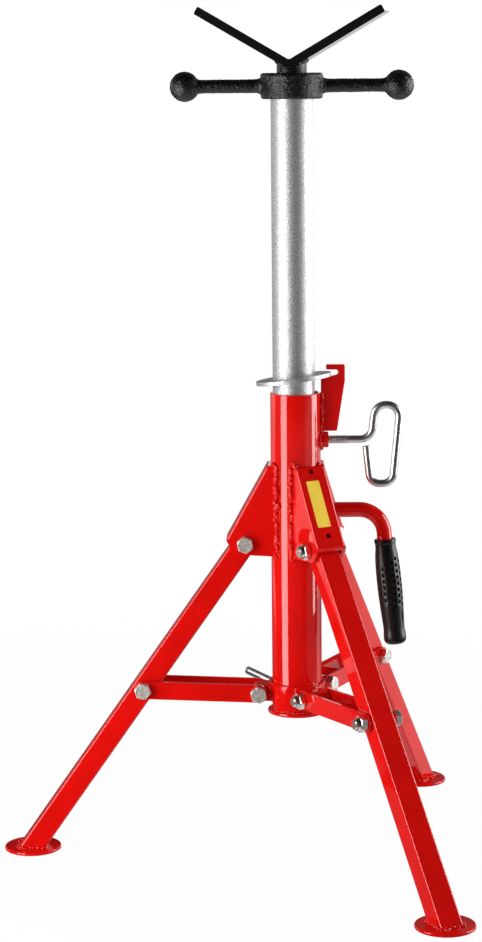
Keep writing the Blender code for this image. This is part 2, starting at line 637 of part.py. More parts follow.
def bolt_mesh(name, shank):
    """Return a hexagon bolt: its head stands on z = 0 and its shank runs down from there."""
    corner = BOLT_HEAD_FLATS / math.sqrt(3)

    def build(work):
        bmesh.ops.create_cone(work, cap_ends=True, segments=6, radius1=corner, radius2=corner,
                              depth=BOLT_HEAD_HEIGHT, matrix=Matrix.Translation((0, 0, BOLT_HEAD_HEIGHT / 2)))
        crown = [edge for edge in work.edges if min(vertex.co.z for vertex in edge.verts) > BOLT_HEAD_HEIGHT / 2]
        bmesh.ops.bevel(work, geom=crown, offset=BOLT_HEAD_CHAMFER, segments=1, affect="EDGES")

    mesh = mesh_from(build, name)
    return mesh, rod_mesh(name + "_shank", BOLT_RADIUS, (0, 0, -shank), (0, 0, BOLT_HEAD_HEIGHT / 2))


def make_bolt(name, frame, place, half, side):
    """Make a bolt through a fork of the given half width, with its nut on the far side."""
    quarter = math.radians(90.0)
    head_turn = (-quarter * side, 0, 0)
    nut_turn = (quarter * side, 0, 0)
    seat = half + SEAT_GAP
    mesh, shank = bolt_mesh(name + "_bolt", 2 * seat + NUT_HEIGHT + BOLT_TIP_REACH)
    bolt = add_part(name + "_bolt", mesh, "bright_bolt", frame, (place[0], side * seat, place[1]), head_turn)
    join(bolt, shank)
    nut_shape, _ = bolt_mesh(name + "_nut", NUT_HEIGHT)
    nut_shape.transform(Matrix.Diagonal((1, 1, NUT_HEIGHT / BOLT_HEAD_HEIGHT, 1)))
    nut = add_part(name + "_nut", nut_shape, "bright_bolt", frame, (place[0], -side * seat, place[1]), nut_turn)
    cut(nut, rod_mesh("thread", BOLT_RADIUS + SEAT_GAP, (0, 0, -OVERRUN), (0, 0, OVERRUN)))


def make_stub_bolt(name, frame, place, half, side):
    """Make the open pivot's bolt: head and nut each with a stub that stops short of the leg."""
    quarter = math.radians(90.0)
    seat = half + SEAT_GAP
    stub = half + SEAT_GAP - FORK_HALF
    mesh, shank = bolt_mesh(name + "_bolt", stub)
    bolt = add_part(name + "_bolt", mesh, "bright_bolt", frame, (place[0], side * seat, place[1]),
                    (-quarter * side, 0, 0))
    join(bolt, shank)
    nut_shape, _ = bolt_mesh(name + "_nut", stub)
    nut_shape.transform(Matrix.Diagonal((1, 1, NUT_HEIGHT / BOLT_HEAD_HEIGHT, 1)))
    nut = add_part(name + "_nut", nut_shape, "bright_bolt", frame, (place[0], -side * seat, place[1]),
                   (quarter * side, 0, 0))
    join(nut, rod_mesh("thread", BOLT_RADIUS, (0, 0, -stub), (0, 0, NUT_HEIGHT + BOLT_TIP_REACH)))


def make_leg(side, frame):
    """Make a leg of rectangular tube on its pivot, with its foot, in the frame of its plane."""
    pivot = add_empty(side + "_leg_pivot", frame, (LEG_PIVOT_RADIUS, 0, LEG_PIVOT_HEIGHT), (0, -LEG_ANGLE, 0))
    half_depth = LEG_DEPTH / 2
    half_width = LEG_WIDTH / 2
    outlines = []
    for shrink, radius in ((0, LEG_CORNER_RADIUS), (LEG_WALL, LEG_CORNER_RADIUS - LEG_WALL / 2)):
        x, y = half_depth - shrink, half_width - shrink
        outlines.append(rounded_path([(x, y), (-x, y), (-x, -y), (x, -y)], [radius] * 4, True, 2))
    mesh = extruded_mesh(side + "_leg", outlines, -LEG_LENGTH, LEG_TOP_REACH, False)
    for vertex in mesh.vertices:
        if vertex.co.z < 0:
            vertex.co.z -= vertex.co.x * math.tan(LEG_ANGLE)
    leg = add_part(side + "_leg", mesh, "red_paint", pivot)
    for height in (0, -LEG_TO_LINK_PIVOT):
        cut(leg, cross_hole("bolt_hole", BOLT_RADIUS + HOLE_CLEARANCE, 0, height, half_width))
    foot = turned_mesh(side + "_foot", [(0, FOOT_THICKNESS), (FOOT_RADIUS - FOOT_EDGE, FOOT_THICKNESS),
                                        (FOOT_RADIUS, FOOT_THICKNESS - FOOT_EDGE), (FOOT_RADIUS, 0), (0, 0)],
                       False)
    slant = Vector((0, 0, -(LEG_PIVOT_HEIGHT - FOOT_THICKNESS) / math.cos(LEG_ANGLE)))
    spot = slant + Matrix.Rotation(LEG_ANGLE, 3, "Y") @ Vector((0, 0, -FOOT_THICKNESS))
    add_part(side + "_foot", foot, "red_paint", pivot, spot, (0, LEG_ANGLE, 0))
    make_bolt(side + "_leg_pivot", frame, (LEG_PIVOT_RADIUS, LEG_PIVOT_HEIGHT), BRACKET_HALF, HEAD_SIDES[side])


def make_link(side, frame):
    """Make the channel link from the collar to a leg, on its inner pivot."""
    pivot = add_empty(side + "_link_pivot", frame, (COLLAR_PIVOT_RADIUS, 0, COLLAR_PIVOT_HEIGHT),
                      (0, -LINK_ANGLE, 0))
    half = LINK_DEPTH / 2
    corners = [(-half, half), (LINK_LENGTH + half, half), (LINK_LENGTH + half, -half), (-half, -half)]
    end_radius = half * ROUND_END_SHARE
    mesh = extruded_mesh(side + "_link", [rounded_path(corners, [end_radius] * 4)], -LINK_HALF, LINK_HALF)
    link = add_part(side + "_link", mesh, "red_paint", pivot)
    far = LINK_LENGTH + half + OVERRUN
    high = half + OVERRUN
    cut(link,
        box_mesh("channel", (-half - OVERRUN, -FORK_HALF, LINK_PLATE - half), (far, FORK_HALF, high)),
        box_mesh("collar_end", (-half - OVERRUN, -FORK_HALF, -high), (LINK_WEB_START, FORK_HALF, high)),
        box_mesh("leg_end", (LINK_WEB_END, -FORK_HALF, -high), (far, FORK_HALF, high)))
    for place in (0, LINK_LENGTH):
        cut(link, cross_hole("bolt_hole", BOLT_RADIUS + HOLE_CLEARANCE, place, 0, LINK_HALF))
    make_stub_bolt(side + "_link_outer", pivot, (LINK_LENGTH, 0), LINK_HALF, HEAD_SIDES[side])
    make_bolt(side + "_link_inner", frame, (COLLAR_PIVOT_RADIUS, COLLAR_PIVOT_HEIGHT), LINK_HALF,
              HEAD_SIDES[side])


def make_collar(root):
    """Make the sliding collar with a lug for each link and the lock pin's boss."""
    base = add_empty("collar_base", root, (0, 0, COLLAR_BOTTOM))
    profile = [(0, COLLAR_HEIGHT), (COLLAR_RADIUS - COLLAR_EDGE, COLLAR_HEIGHT),
               (COLLAR_RADIUS, COLLAR_HEIGHT - COLLAR_EDGE), (COLLAR_RADIUS, COLLAR_EDGE),
               (COLLAR_RADIUS - COLLAR_EDGE, 0), (0, 0)]
    collar = add_part("sliding_collar", turned_mesh("sliding_collar", profile, False, TUBE_SEGMENTS * 2),
                      "red_paint", base)
    holes = []
    for side, azimuth in LEG_AZIMUTHS.items():
        end_x = COLLAR_PIVOT_RADIUS + LUG_END_RADIUS
        high = COLLAR_PIVOT_RISE + LUG_END_RADIUS
        low = COLLAR_PIVOT_RISE - LUG_END_RADIUS
        corners = [(0, high), (end_x, high), (end_x, low), (COLLAR_RADIUS, LUG_TOE_RISE), (0, LUG_TOE_RISE)]
        nose = LUG_END_RADIUS * ROUND_END_SHARE
        lug = extruded_mesh("lug", [rounded_path(corners, [0, nose, nose, 0, 0])], -LUG_WIDTH / 2, LUG_WIDTH / 2)
        hole = cross_hole("bolt_hole", BOLT_RADIUS + HOLE_CLEARANCE, COLLAR_PIVOT_RADIUS, COLLAR_PIVOT_RISE,
                          LUG_WIDTH / 2)
        turn = Matrix.Rotation(azimuth, 4, "Z")
        lug.transform(turn)
        hole.transform(turn)
        join(collar, lug)
        holes.append(hole)
    direction = Vector((math.cos(LOCK_PIN_AZIMUTH), math.sin(LOCK_PIN_AZIMUTH), 0))
    level = Vector((0, 0, LOCK_PIN_RISE))
    boss_end = COLLAR_RADIUS + LOCK_BOSS_REACH
    join(collar, rod_mesh("pin_boss", LOCK_BOSS_RADIUS, level, level + direction * boss_end, TUBE_SEGMENTS))
    cut(collar,
        rod_mesh("bore", COLLAR_BORE, (0, 0, -OVERRUN), (0, 0, COLLAR_HEIGHT + OVERRUN), TUBE_SEGMENTS * 2),
        rod_mesh("pin_hole", LOCK_PIN_RADIUS + HOLE_CLEARANCE, level, level + direction * (boss_end + OVERRUN)),
        *holes)


def make_lock_pin(root):
    """Make the lock pin, its knob and its wire loop, along local X from the post's axis."""
    line = add_empty("lock_pin_line", root, (0, 0, LOCK_PIN_HEIGHT), (0, 0, LOCK_PIN_AZIMUTH))
    tip = OUTER_TUBE_RADIUS + RUNNING_GAP
    knob_end = LOCK_KNOB_START + LOCK_KNOB_LENGTH
    profile = [(0, knob_end), (LOCK_KNOB_RADIUS - LOCK_KNOB_EDGE, knob_end),
               (LOCK_KNOB_RADIUS, knob_end - LOCK_KNOB_EDGE), (LOCK_KNOB_RADIUS, LOCK_KNOB_START),
               (LOCK_PIN_RADIUS, LOCK_KNOB_START), (LOCK_PIN_RADIUS, tip), (0, tip)]
    mesh = turned_mesh("lock_pin", profile, False, SMALL_SEGMENTS)
    mesh.transform(Matrix.Rotation(math.radians(90.0), 4, "Y"))
    add_part("lock_pin", mesh, "chrome", line)
    side = LOCK_LOOP_HALF_WIDTH
    start = SEAT_GAP + (side + LOCK_LOOP_WIRE_RADIUS) * math.sin(LOCK_LOOP_LIFT)
    corners = [(start, side), (LOCK_LOOP_LENGTH, side), (LOCK_LOOP_LENGTH, -side), (start, -side)]
    bow = side * ROUND_END_SHARE
    path = rounded_path(corners, [0, bow, bow, 0], False, WIRE_ARC_STEPS)
    wire = wire_mesh("lock_pin_loop", [(point.x, point.y, 0) for point in path], LOCK_LOOP_WIRE_RADIUS, 2)
    add_part("lock_pin_loop", wire, "chrome", line, (knob_end, 0, 0), (LOCK_LOOP_ROLL, -LOCK_LOOP_LIFT, 0))


def make_mast(root):
    """Make the inner tube, pressed to one side of the post's bore by the clamp screw."""
    axis = add_empty("mast_axis", root, (-MAST_OFFSET, 0, 0))
    bore = INNER_TUBE_RADIUS - INNER_TUBE_WALL
    add_part("inner_tube", turned_mesh(
        "inner_tube", ring_profile(INNER_TUBE_RADIUS, bore, INNER_TUBE_BOTTOM, INNER_TUBE_TOP), True),
        "zinc", axis)
    return axis


def make_hand_nut(axis):
    """Make the cast nut with two ball arms that stands on the mast's end."""
    profile = [(0, HUB_TOP), (HUB_RADIUS - HUB_EDGE, HUB_TOP), (HUB_RADIUS, HUB_TOP - HUB_EDGE),
               (HUB_RADIUS, HUB_BOTTOM + HUB_EDGE), (HUB_RADIUS - HUB_EDGE, HUB_BOTTOM), (0, HUB_BOTTOM)]
    nut = add_part("hand_nut", turned_mesh("hand_nut", profile, False), "black_cast", axis)
    middle = (HUB_TOP + HUB_BOTTOM) / 2
    join(nut, rod_mesh("arms", ARM_RADIUS, (-BALL_CENTRE, 0, middle), (BALL_CENTRE, 0, middle)))
    for side in (-1, 1):
        join(nut, ball_mesh("ball", BALL_RADIUS, (side * BALL_CENTRE, 0, middle)))
    cut(nut,
        rod_mesh("socket", INNER_TUBE_RADIUS + RUNNING_GAP, (0, 0, HUB_BOTTOM - OVERRUN),
                 (0, 0, HUB_BOTTOM + HUB_SOCKET_DEPTH), TUBE_SEGMENTS),
        rod_mesh("thread", SCREW_RADIUS + HOLE_CLEARANCE, (0, 0, HUB_BOTTOM - OVERRUN),
                 (0, 0, HUB_TOP + OVERRUN), TUBE_SEGMENTS))


def v_outline(thickness_gap=0.0):
    """Return the bent plate's outline in XZ, or with a gap added under it."""
    along = Vector((math.cos(V_ARM_RISE), math.sin(V_ARM_RISE)))
    down = Vector((along.y, -along.x)) * (V_THICKNESS + thickness_gap)
    crotch = Vector((0, V_CROTCH))
    bottom = Vector((0, V_CROTCH - down.length / math.cos(V_ARM_RISE)))
    tip = crotch + along * V_ARM_LENGTH
    under = tip + down
    mirrored = [Vector((-point.x, point.y)) for point in (tip, under)]
    corners = [crotch, tip, under, bottom, mirrored[1], mirrored[0]]
    edge = V_EDGE_RADIUS
    return rounded_path(corners, [V_CROTCH_RADIUS, edge, edge, V_BEND_RADIUS, edge, edge], True, ARC_STEPS)


def make_head(axis):
    """Make the lifting screw, and the swivelling neck and V plate on it."""
    bottom = HUB_BOTTOM - SCREW_BELOW_HUB
    spigot_top = HUB_TOP + SPIGOT_LENGTH
    profile = [(0, spigot_top), (SPIGOT_RADIUS, spigot_top), (SPIGOT_RADIUS, HUB_TOP), (SCREW_RADIUS, HUB_TOP),
               (SCREW_RADIUS, bottom + SCREW_EDGE), (SCREW_RADIUS - SCREW_EDGE, bottom), (0, bottom)]
    add_part("head_screw", turned_mesh("head_screw", profile, False), "zinc", axis)
    turn = add_empty("head_turn", axis, (0, 0, 0), (0, 0, V_TURN))
    neck_top = V_CROTCH + NECK_RADIUS
    neck = add_part("head_neck", rod_mesh("head_neck", NECK_RADIUS, (0, 0, HUB_TOP + SEAT_GAP),
                                          (0, 0, neck_top), TUBE_SEGMENTS), "black_plate", turn)
    block = [(point.x, point.y) for point in v_outline(SEAT_GAP)]
    ceiling = extruded_mesh("ceiling", [block], -V_WIDTH, V_WIDTH)
    rise = NECK_RADIUS * math.tan(V_ARM_RISE)
    above = extruded_mesh("above", [[(-NECK_RADIUS - OVERRUN, V_CROTCH + rise + OVERRUN),
                                     (-NECK_RADIUS - OVERRUN, V_CROTCH + rise),
                                     (0, V_CROTCH - V_THICKNESS / 2),
                                     (NECK_RADIUS + OVERRUN, V_CROTCH + rise),
                                     (NECK_RADIUS + OVERRUN, V_CROTCH + rise + OVERRUN)]], -V_WIDTH, V_WIDTH)
    cut(neck, above, ceiling,
        rod_mesh("spigot", SPIGOT_RADIUS + HOLE_CLEARANCE, (0, 0, HUB_TOP - OVERRUN), (0, 0, spigot_top + SEAT_GAP)))
    add_part("v_plate", extruded_mesh("v_plate", [v_outline()], -V_WIDTH / 2, V_WIDTH / 2), "black_plate", turn)


def main():
    """Build the stand."""
    root = add_empty("stand_root", None, (POST_X, 0, 0))
    make_post(root)
    for side, azimuth in LEG_AZIMUTHS.items():
        plane = add_empty(side + "_plane", root, (0, 0, 0), (0, 0, azimuth))
        make_bracket(side, plane)
        make_leg(side, plane)
        make_link(side, plane)
    make_collar(root)
    make_lock_pin(root)
    make_catch(root)
    make_clamp_ring(root)
    make_clamp_screw(root)
    make_handle(root)
    axis = make_mast(root)
    make_hand_nut(axis)
    make_head(axis)


main()
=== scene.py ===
"""Looks of the folding pipe stand, modelled and dressed over its CAD frame.

Metres, +Z up, in the frame's own coordinates. The post stands along Z at Stance.post_x. A leg, its
bracket and its link are made in the leg's plane (local X outwards from the post's axis) and then
turned into place. Red powder coat, zinc-plated tube, nickel-plated bolts and black cast iron are
the finishes that the eye reads first, so their nodes get the most care.
"""

import logging
import math
import random
from collections.abc import Callable, Iterator, Sequence
from contextlib import contextmanager
from dataclasses import dataclass, field
from enum import Enum

import bmesh
import bpy
from mathutils import Matrix, Vector


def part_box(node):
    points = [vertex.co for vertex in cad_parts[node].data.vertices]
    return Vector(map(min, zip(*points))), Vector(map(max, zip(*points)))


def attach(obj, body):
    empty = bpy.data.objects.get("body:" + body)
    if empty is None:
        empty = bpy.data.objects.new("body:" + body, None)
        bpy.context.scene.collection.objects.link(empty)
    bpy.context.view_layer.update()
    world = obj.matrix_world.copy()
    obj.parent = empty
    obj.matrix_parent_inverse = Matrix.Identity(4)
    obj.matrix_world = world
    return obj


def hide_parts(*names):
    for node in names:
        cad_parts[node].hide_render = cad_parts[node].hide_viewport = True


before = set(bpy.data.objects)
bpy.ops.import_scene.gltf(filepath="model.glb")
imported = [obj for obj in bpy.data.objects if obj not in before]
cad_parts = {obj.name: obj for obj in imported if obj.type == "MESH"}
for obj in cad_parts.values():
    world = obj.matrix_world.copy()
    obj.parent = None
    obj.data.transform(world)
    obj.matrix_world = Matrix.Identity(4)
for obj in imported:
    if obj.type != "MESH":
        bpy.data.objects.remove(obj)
LOG = logging.getLogger("pipe_stand")
TURN = 2 * math.pi
QUARTER = TURN / 4
WELD_GAP = 0.0003            # left between pieces that touch
CLEAN = 0.00001              # corners nearer than this are one corner
CAD_CLEAN = 0.00002          # the same in a copy of a CAD node
MELT = 0.0006                # size of the faces of a weld that is melted from drops
DROP_STEP = 0.62             # from drop to drop of a weld, as a share of its radius
DROP_STRAY = 0.26            # how far a drop strays, the same way
DROP_SIZES = (0.55, 1.20)    # the smallest and the largest drop, the same way
ROUND = 128                  # corners round a tube or a ring that shows large
Point = tuple[float, float, float]


# Shaping

class Part(Enum):
    """What a selection in edit mode is made of."""

    CORNER = "VERT"
    EDGE = "EDGE"
    FACE = "FACE"


class Join(Enum):
    """How two solids are combined."""

    CUT = "DIFFERENCE"
    COMMON = "INTERSECT"


def activate(*things: bpy.types.Object) -> None:
    """Select only these pieces, the first of them active."""
    bpy.ops.object.select_all(action="DESELECT")
    for thing in things:
        thing.select_set(True)
    bpy.context.view_layer.objects.active = things[0]


def primitive(name: str, operator: Callable[..., object], **settings: object) -> bpy.types.Object:
    """Add a primitive by its operator, name it and set its place into its mesh."""
    bpy.ops.object.select_all(action="DESELECT")
    operator(**settings)
    thing = bpy.context.object
    thing.name = thing.data.name = name
    bpy.ops.object.transform_apply(location=True, rotation=True, scale=True)
    return thing


@contextmanager
def editing(thing: bpy.types.Object) -> Iterator[None]:
    """Open a piece in edit mode, picking corners, with nothing selected, and close it afterwards."""
    activate(thing)
    bpy.ops.object.mode_set(mode="EDIT")
    bpy.ops.mesh.select_mode(type=Part.CORNER.value)
    bpy.ops.mesh.select_all(action="DESELECT")
    yield
    bpy.ops.object.mode_set(mode="OBJECT")


def pick(thing: bpy.types.Object, part: Part, test: Callable[[Vector, Vector], bool]) -> None:
    """Select, in edit mode, the edges or faces that pass a test.

    Args:
        thing: The piece in edit mode.
        part: Edges or faces.
        test: Gets the middle, and the face's normal or the edge's direction.
    """
    bpy.ops.mesh.select_mode(type=part.value)
    bpy.ops.mesh.select_all(action="DESELECT")
    work = bmesh.from_edit_mesh(thing.data)
    if part is Part.FACE:
        chosen = [face for face in work.faces if test(face.calc_center_median(), face.normal)]
    else:
        chosen = []
        for edge in work.edges:
            low, high = (corner.co for corner in edge.verts)
            if test((low + high) / 2, (high - low).normalized()):
                chosen.append(edge)
    for element in chosen:
        element.select_set(True)
    work.select_flush_mode()
    bmesh.update_edit_mesh(thing.data)


def slice_off(at: Sequence[float], way: Sequence[float], fill: bool = True) -> None:
    """Cut off, in edit mode, what lies beyond a plane, on the side that a direction points to."""
    bpy.ops.mesh.select_all(action="SELECT")
    bpy.ops.mesh.bisect(plane_co=at, plane_no=way, clear_outer=True, use_fill=fill)


def close_up(ends: bool = True) -> None:
    """Merge doubles in edit mode, cap open ends and turn every face outwards."""
    bpy.ops.mesh.select_all(action="SELECT")
    bpy.ops.mesh.remove_doubles(threshold=CLEAN)
    if ends:
        bpy.ops.mesh.fill_holes(sides=0)
    bpy.ops.mesh.normals_make_consistent(inside=False)


def apply_modifier(thing: bpy.types.Object, kind: str, **settings: object) -> None:
    """Add a modifier with its settings and apply it."""
    modifier = thing.modifiers.new(kind.title(), kind)
    for key, value in settings.items():
        setattr(modifier, key, value)
    activate(thing)
    bpy.ops.object.modifier_apply(modifier=modifier.name)


def combine(thing: bpy.types.Object, how: Join, *others: bpy.types.Object) -> None:
    """Combine a solid with others, which are used up."""
    for other in others:
        apply_modifier(thing, "BOOLEAN", operation=how.value, object=other, solver="EXACT")
        bpy.data.objects.remove(other)


def merged(thing: bpy.types.Object, *others: bpy.types.Object) -> bpy.types.Object:
    """Join other pieces into one object, without combining their solids."""
    activate(thing, *others)
    bpy.ops.object.join()
    return thing


def placed(thing: bpy.types.Object, place: Matrix) -> bpy.types.Object:
    """Set a place into the mesh of a piece, whose object stays at the origin."""
    activate(thing)
    thing.matrix_world = place
    bpy.ops.object.transform_apply(location=True, rotation=True, scale=True)
    return thing


def copied(thing: bpy.types.Object, name: str, place: Matrix) -> bpy.types.Object:
    """Return a copy of a piece with a mesh of its own, at a place."""
    twin = thing.copy()
    twin.data = thing.data.copy()
    twin.name = twin.data.name = name
    bpy.context.scene.collection.objects.link(twin)
    return placed(twin, place)


def smoothed(thing: bpy.types.Object, degrees: float = 35.0, weighted: bool = False) -> bpy.types.Object:
    """Shade a piece smooth up to an angle, weighted by face where flats meet small bevels."""
    activate(thing)
    bpy.ops.object.shade_smooth_by_angle(angle=math.radians(degrees))
    if weighted:
        apply_modifier(thing, "WEIGHTED_NORMAL", keep_sharp=True, weight=80)
    return thing


def bevelled(thing: bpy.types.Object, width: float, degrees: float) -> bpy.types.Object:
    """Round the edges of a piece that are sharper than an angle."""
    apply_modifier(thing, "BEVEL", width=width, segments=2, limit_method="ANGLE",
                   angle_limit=math.radians(degrees), use_clamp_overlap=True)
    return thing


def turned(name: str, stations: Sequence[tuple[float, float]], segments: int,
           closed: bool = False) -> bpy.types.Object:
    """Turn a solid about Z by extruding and sizing a ring of corners.

    Args:
        name: The piece's name.
        stations: Radius and height of each ring, from one end to the other.
        segments: Corners in a ring.
        closed: True where the last ring goes back to the first, as on a tube with a wall.

    Returns:
        The piece, its ends capped or its ring closed.
    """
    radius, height = stations[0]
    thing = primitive(name, bpy.ops.mesh.primitive_circle_add, vertices=segments, radius=radius,
                      location=(0, 0, height))
    rings = list(stations[1:]) + (list(stations[:1]) if closed else [])
    with editing(thing):
        bpy.ops.mesh.select_all(action="SELECT")
        for wide, high in rings:
            bpy.ops.mesh.extrude_region_move(TRANSFORM_OT_translate={"value": (0, 0, high - height)})
            bpy.ops.transform.resize(value=(wide / radius, wide / radius, 1), center_override=(0, 0, high))
            radius, height = wide, high
        close_up(not closed)
    return thing


def rod(name: str, radius: float, low: Point, high: Point, segments: int = 32) -> bpy.types.Object:
    """Return a plain round rod between two points, as a start or a cutter."""
    line = Vector(high) - Vector(low)
    thing = turned(name, [(radius, 0), (radius, line.length)], segments)
    return placed(thing, Matrix.Translation(low) @ line.to_track_quat("Z", "Y").to_matrix().to_4x4())


def block(name: str, low: Point, high: Point) -> bpy.types.Object:
    """Return a box between two corners, as a start or a cutter."""
    low, high = Vector(low), Vector(high)
    return primitive(name, bpy.ops.mesh.primitive_cube_add, size=1, location=(low + high) / 2,
                     scale=high - low)


def bent_wire(name: str, corners: Sequence[tuple[float, float]], radii: Sequence[float], wire: float,
              segments: int, end: float = 0.0, step: float = 12.0) -> bpy.types.Object:
    """Feed and bend a round wire in the XZ plane.

    Args:
        name: The piece's name.
        corners: X and Z of the corners that the wire's centre line turns at.
        radii: Bend radius at each corner, 0 at both ends.
        wire: Radius of the wire.
        segments: Corners in the wire's section.
        end: Chamfer at both ends.
        step: Degrees of bend for each ring.

    Returns:
        The closed wire.
    """
    spots = [Vector(corner) for corner in corners]
    place = spots[0].copy()
    heading = (spots[1] - spots[0]).normalized()
    turn = math.atan2(heading.y, heading.x)
    thing = primitive(name, bpy.ops.mesh.primitive_circle_add, vertices=segments, radius=wire - end,
                      location=(place.x, 0, place.y), rotation=(0, QUARTER - turn, 0))

    def feed(length: float, scale: float = 1.0) -> None:
        """Push the wire on along its heading, and size its end ring."""
        nonlocal place
        place = place + heading * length
        bpy.ops.mesh.extrude_region_move(
            TRANSFORM_OT_translate={"value": (heading.x * length, 0, heading.y * length)})
        if scale != 1.0:
            bpy.ops.transform.resize(value=(scale,) * 3, center_override=(place.x, 0, place.y))

    with editing(thing):
        bpy.ops.mesh.select_all(action="SELECT")
        if end:
            feed(end, wire / (wire - end))
        for corner, after, radius in zip(spots[1:-1], spots[2:], radii[1:-1]):
            leaving = (after - corner).normalized()
            bend = math.atan2(heading.x * leaving.y - heading.y * leaving.x, heading.dot(leaving))
            reach = radius * math.tan(abs(bend) / 2)
            feed((corner - place).length - reach)
            side = math.copysign(1.0, bend)
            centre = place + Vector((-heading.y, heading.x)) * radius * side
            bpy.ops.mesh.spin(steps=max(2, round(math.degrees(abs(bend)) / step)), angle=bend,
                              center=(centre.x, 0, centre.y), axis=(0, 1, 0))
            place = corner + leaving * reach
            heading = leaving
        feed((spots[-1] - place).length - end)
        if end:
            feed(end, (wire - end) / wire)
        close_up()
    return thing


def threaded(name: str, crest: float, root: float, pitch: float, length: float,
             segments: int = 32) -> bpy.types.Object:
    """Wind a right-handed thread on a core of its own, from one pitch up Z to a length."""
    thing = primitive(name, bpy.ops.mesh.primitive_plane_add, size=pitch, location=(root, 0, 0))
    profile = [(root, 0.12), (crest, 0.28), (crest, 0.26), (root, 0.34)]   # radius, share of the pitch
    with editing(thing):
        bpy.ops.mesh.select_all(action="SELECT")
        bpy.ops.mesh.merge(type="CENTER")
        radius = root
        for wide, share in profile:
            bpy.ops.mesh.extrude_vertices_move(
                TRANSFORM_OT_translate={"value": (wide - radius, 0, share * pitch)})
            radius = wide
    turns = max(1, math.ceil(length / pitch))
    apply_modifier(thing, "SCREW", angle=TURN, screw_offset=pitch, iterations=turns, steps=segments,
                   render_steps=segments, axis="Z", use_merge_vertices=True, merge_threshold=CLEAN)
    with editing(thing):
        bpy.ops.mesh.select_all(action="SELECT")
        bpy.ops.mesh.remove_doubles(threshold=CLEAN)
        slice_off((0, 0, pitch), (0, 0, -1))
        slice_off((0, 0, length), (0, 0, 1))
        bpy.ops.mesh.select_all(action="SELECT")
        bpy.ops.mesh.normals_make_consistent(inside=False)
    return thing


def weld_bead(name: str, path: Sequence[Point], radius: float, seed: int, flat: float = 1.0,
              voxel: float = MELT) -> bpy.types.Object:
    """Lay drops of weld along a path and melt them into one rough bead.

    Args:
        name: The piece's name.
        path: Points that the bead follows.
        radius: Half the bead's width.
        seed: Sets how the drops scatter.
        flat: Share of the radius that the drops rise by.
        voxel: Size of the faces after melting.

    Returns:
        The bead, smooth and closed.
    """
    dice = random.Random(seed)
    spots = [Vector(point) for point in path]
    drops = [spots[0]]
    for low, high in zip(spots, spots[1:]):
        count = max(1, round((high - low).length / (radius * DROP_STEP)))
        drops += [low.lerp(high, (index + 1) / count) for index in range(count)]
    thing = primitive(name, bpy.ops.mesh.primitive_ico_sphere_add, subdivisions=2, radius=radius,
                      location=drops[0])
    with editing(thing):
        for spot in drops[1:]:
            stray = Vector([dice.gauss(0, DROP_STRAY) * radius for _ in range(3)])
            bpy.ops.mesh.primitive_ico_sphere_add(subdivisions=2, radius=radius * dice.uniform(*DROP_SIZES),
                                                  location=spot + stray, scale=(1, 1, flat))
    apply_modifier(thing, "REMESH", mode="VOXEL", voxel_size=voxel, use_smooth_shade=True)
    apply_modifier(thing, "SMOOTH", factor=0.5, iterations=1)
    return thing


def circle(radius: float, steps: int) -> Iterator[tuple[float, float]]:
    """Yield the points of a circle about the origin, the last one on the first."""
    for step in range(steps + 1):
        turn = TURN * step / steps
        yield math.cos(turn) * radius, math.sin(turn) * radius


def refined(node: str, name: str, bevel: float, degrees: float = 35.0) -> bpy.types.Object:
    """Return a copy of a CAD node, its loose triangles merged to clean faces and its edges rounded.

    Args:
        node: The CAD node.
        name: Name of the new piece.
        bevel: Width of the rounding on sharp edges.
        degrees: Edges sharper than this are rounded.

    Returns:
        The new piece.
    """
    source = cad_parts[node]
    thing = source.copy()
    thing.data = source.data.copy()
    for key in list(thing.keys()):
        del thing[key]
    thing.parent = None
    thing.matrix_world = Matrix.Identity(4)
    thing.data.materials.clear()
    thing.name = thing.data.name = name
    bpy.context.scene.collection.objects.link(thing)
    with editing(thing):
        bpy.ops.mesh.select_all(action="SELECT")
        bpy.ops.mesh.customdata_custom_splitnormals_clear()
        bpy.ops.mesh.remove_doubles(threshold=CAD_CLEAN)
        bpy.ops.mesh.dissolve_limited(angle_limit=math.radians(1.5))
        bpy.ops.mesh.normals_make_consistent(inside=False)
    return smoothed(bevelled(thing, bevel, degrees), 40.0, True)


# Finishes

RAMP = ("Value", "From Min", "From Max", "To Min", "To Max")
GLOSS_ENDS = (0.3, 0.7)      # where a noise reaches the two ends of a finish's roughness
METAL = (("Metallic", 1.0),)


def linear(colour: str) -> tuple[float, float, float, float]:
    """Turn an sRGB hex colour into linear values with an alpha of 1."""
    parts = [int(colour[place:place + 2], 16) / 255 for place in (0, 2, 4)]
    return (*[part / 12.92 if part <= 0.04045 else ((part + 0.055) / 1.055) ** 2.4 for part in parts], 1.0)


def per_metre(size: float) -> float:
    """Return the scale of a noise whose features are this many millimetres across."""
    return 1000.0 / size


def add_node(tree: bpy.types.NodeTree, kind: str, settings: dict[str, object] | None = None,
             inputs: dict[str | int, object] | None = None) -> bpy.types.Node:
    """Add a node, set its properties, and set or link its inputs.

    Args:
        tree: The tree that gets the node.
        kind: The node's type name, without its ShaderNode start.
        settings: Its properties.
        inputs: Its sockets by name or number, each with a value or an output to link.

    Returns:
        The node.
    """
    node = tree.nodes.new("ShaderNode" + kind)
    for key, value in (settings or {}).items():
        setattr(node, key, value)
    for key, value in (inputs or {}).items():
        if isinstance(value, bpy.types.NodeSocket):
            tree.links.new(value, node.inputs[key])
        else:
            node.inputs[key].default_value = value
    return node


@dataclass(frozen=True)
class Grain:
    """A noise in a surface: how wide its features are in millimetres, its detail and its roughness."""

    size: float
    detail: float
    rough: float = 0.5


Bumps = tuple[tuple[Grain, float], ...]      # each a grain and its depth in millimetres, lowest first
Sockets = tuple[tuple[str, float], ...]      # sockets of the shader by name, with their values


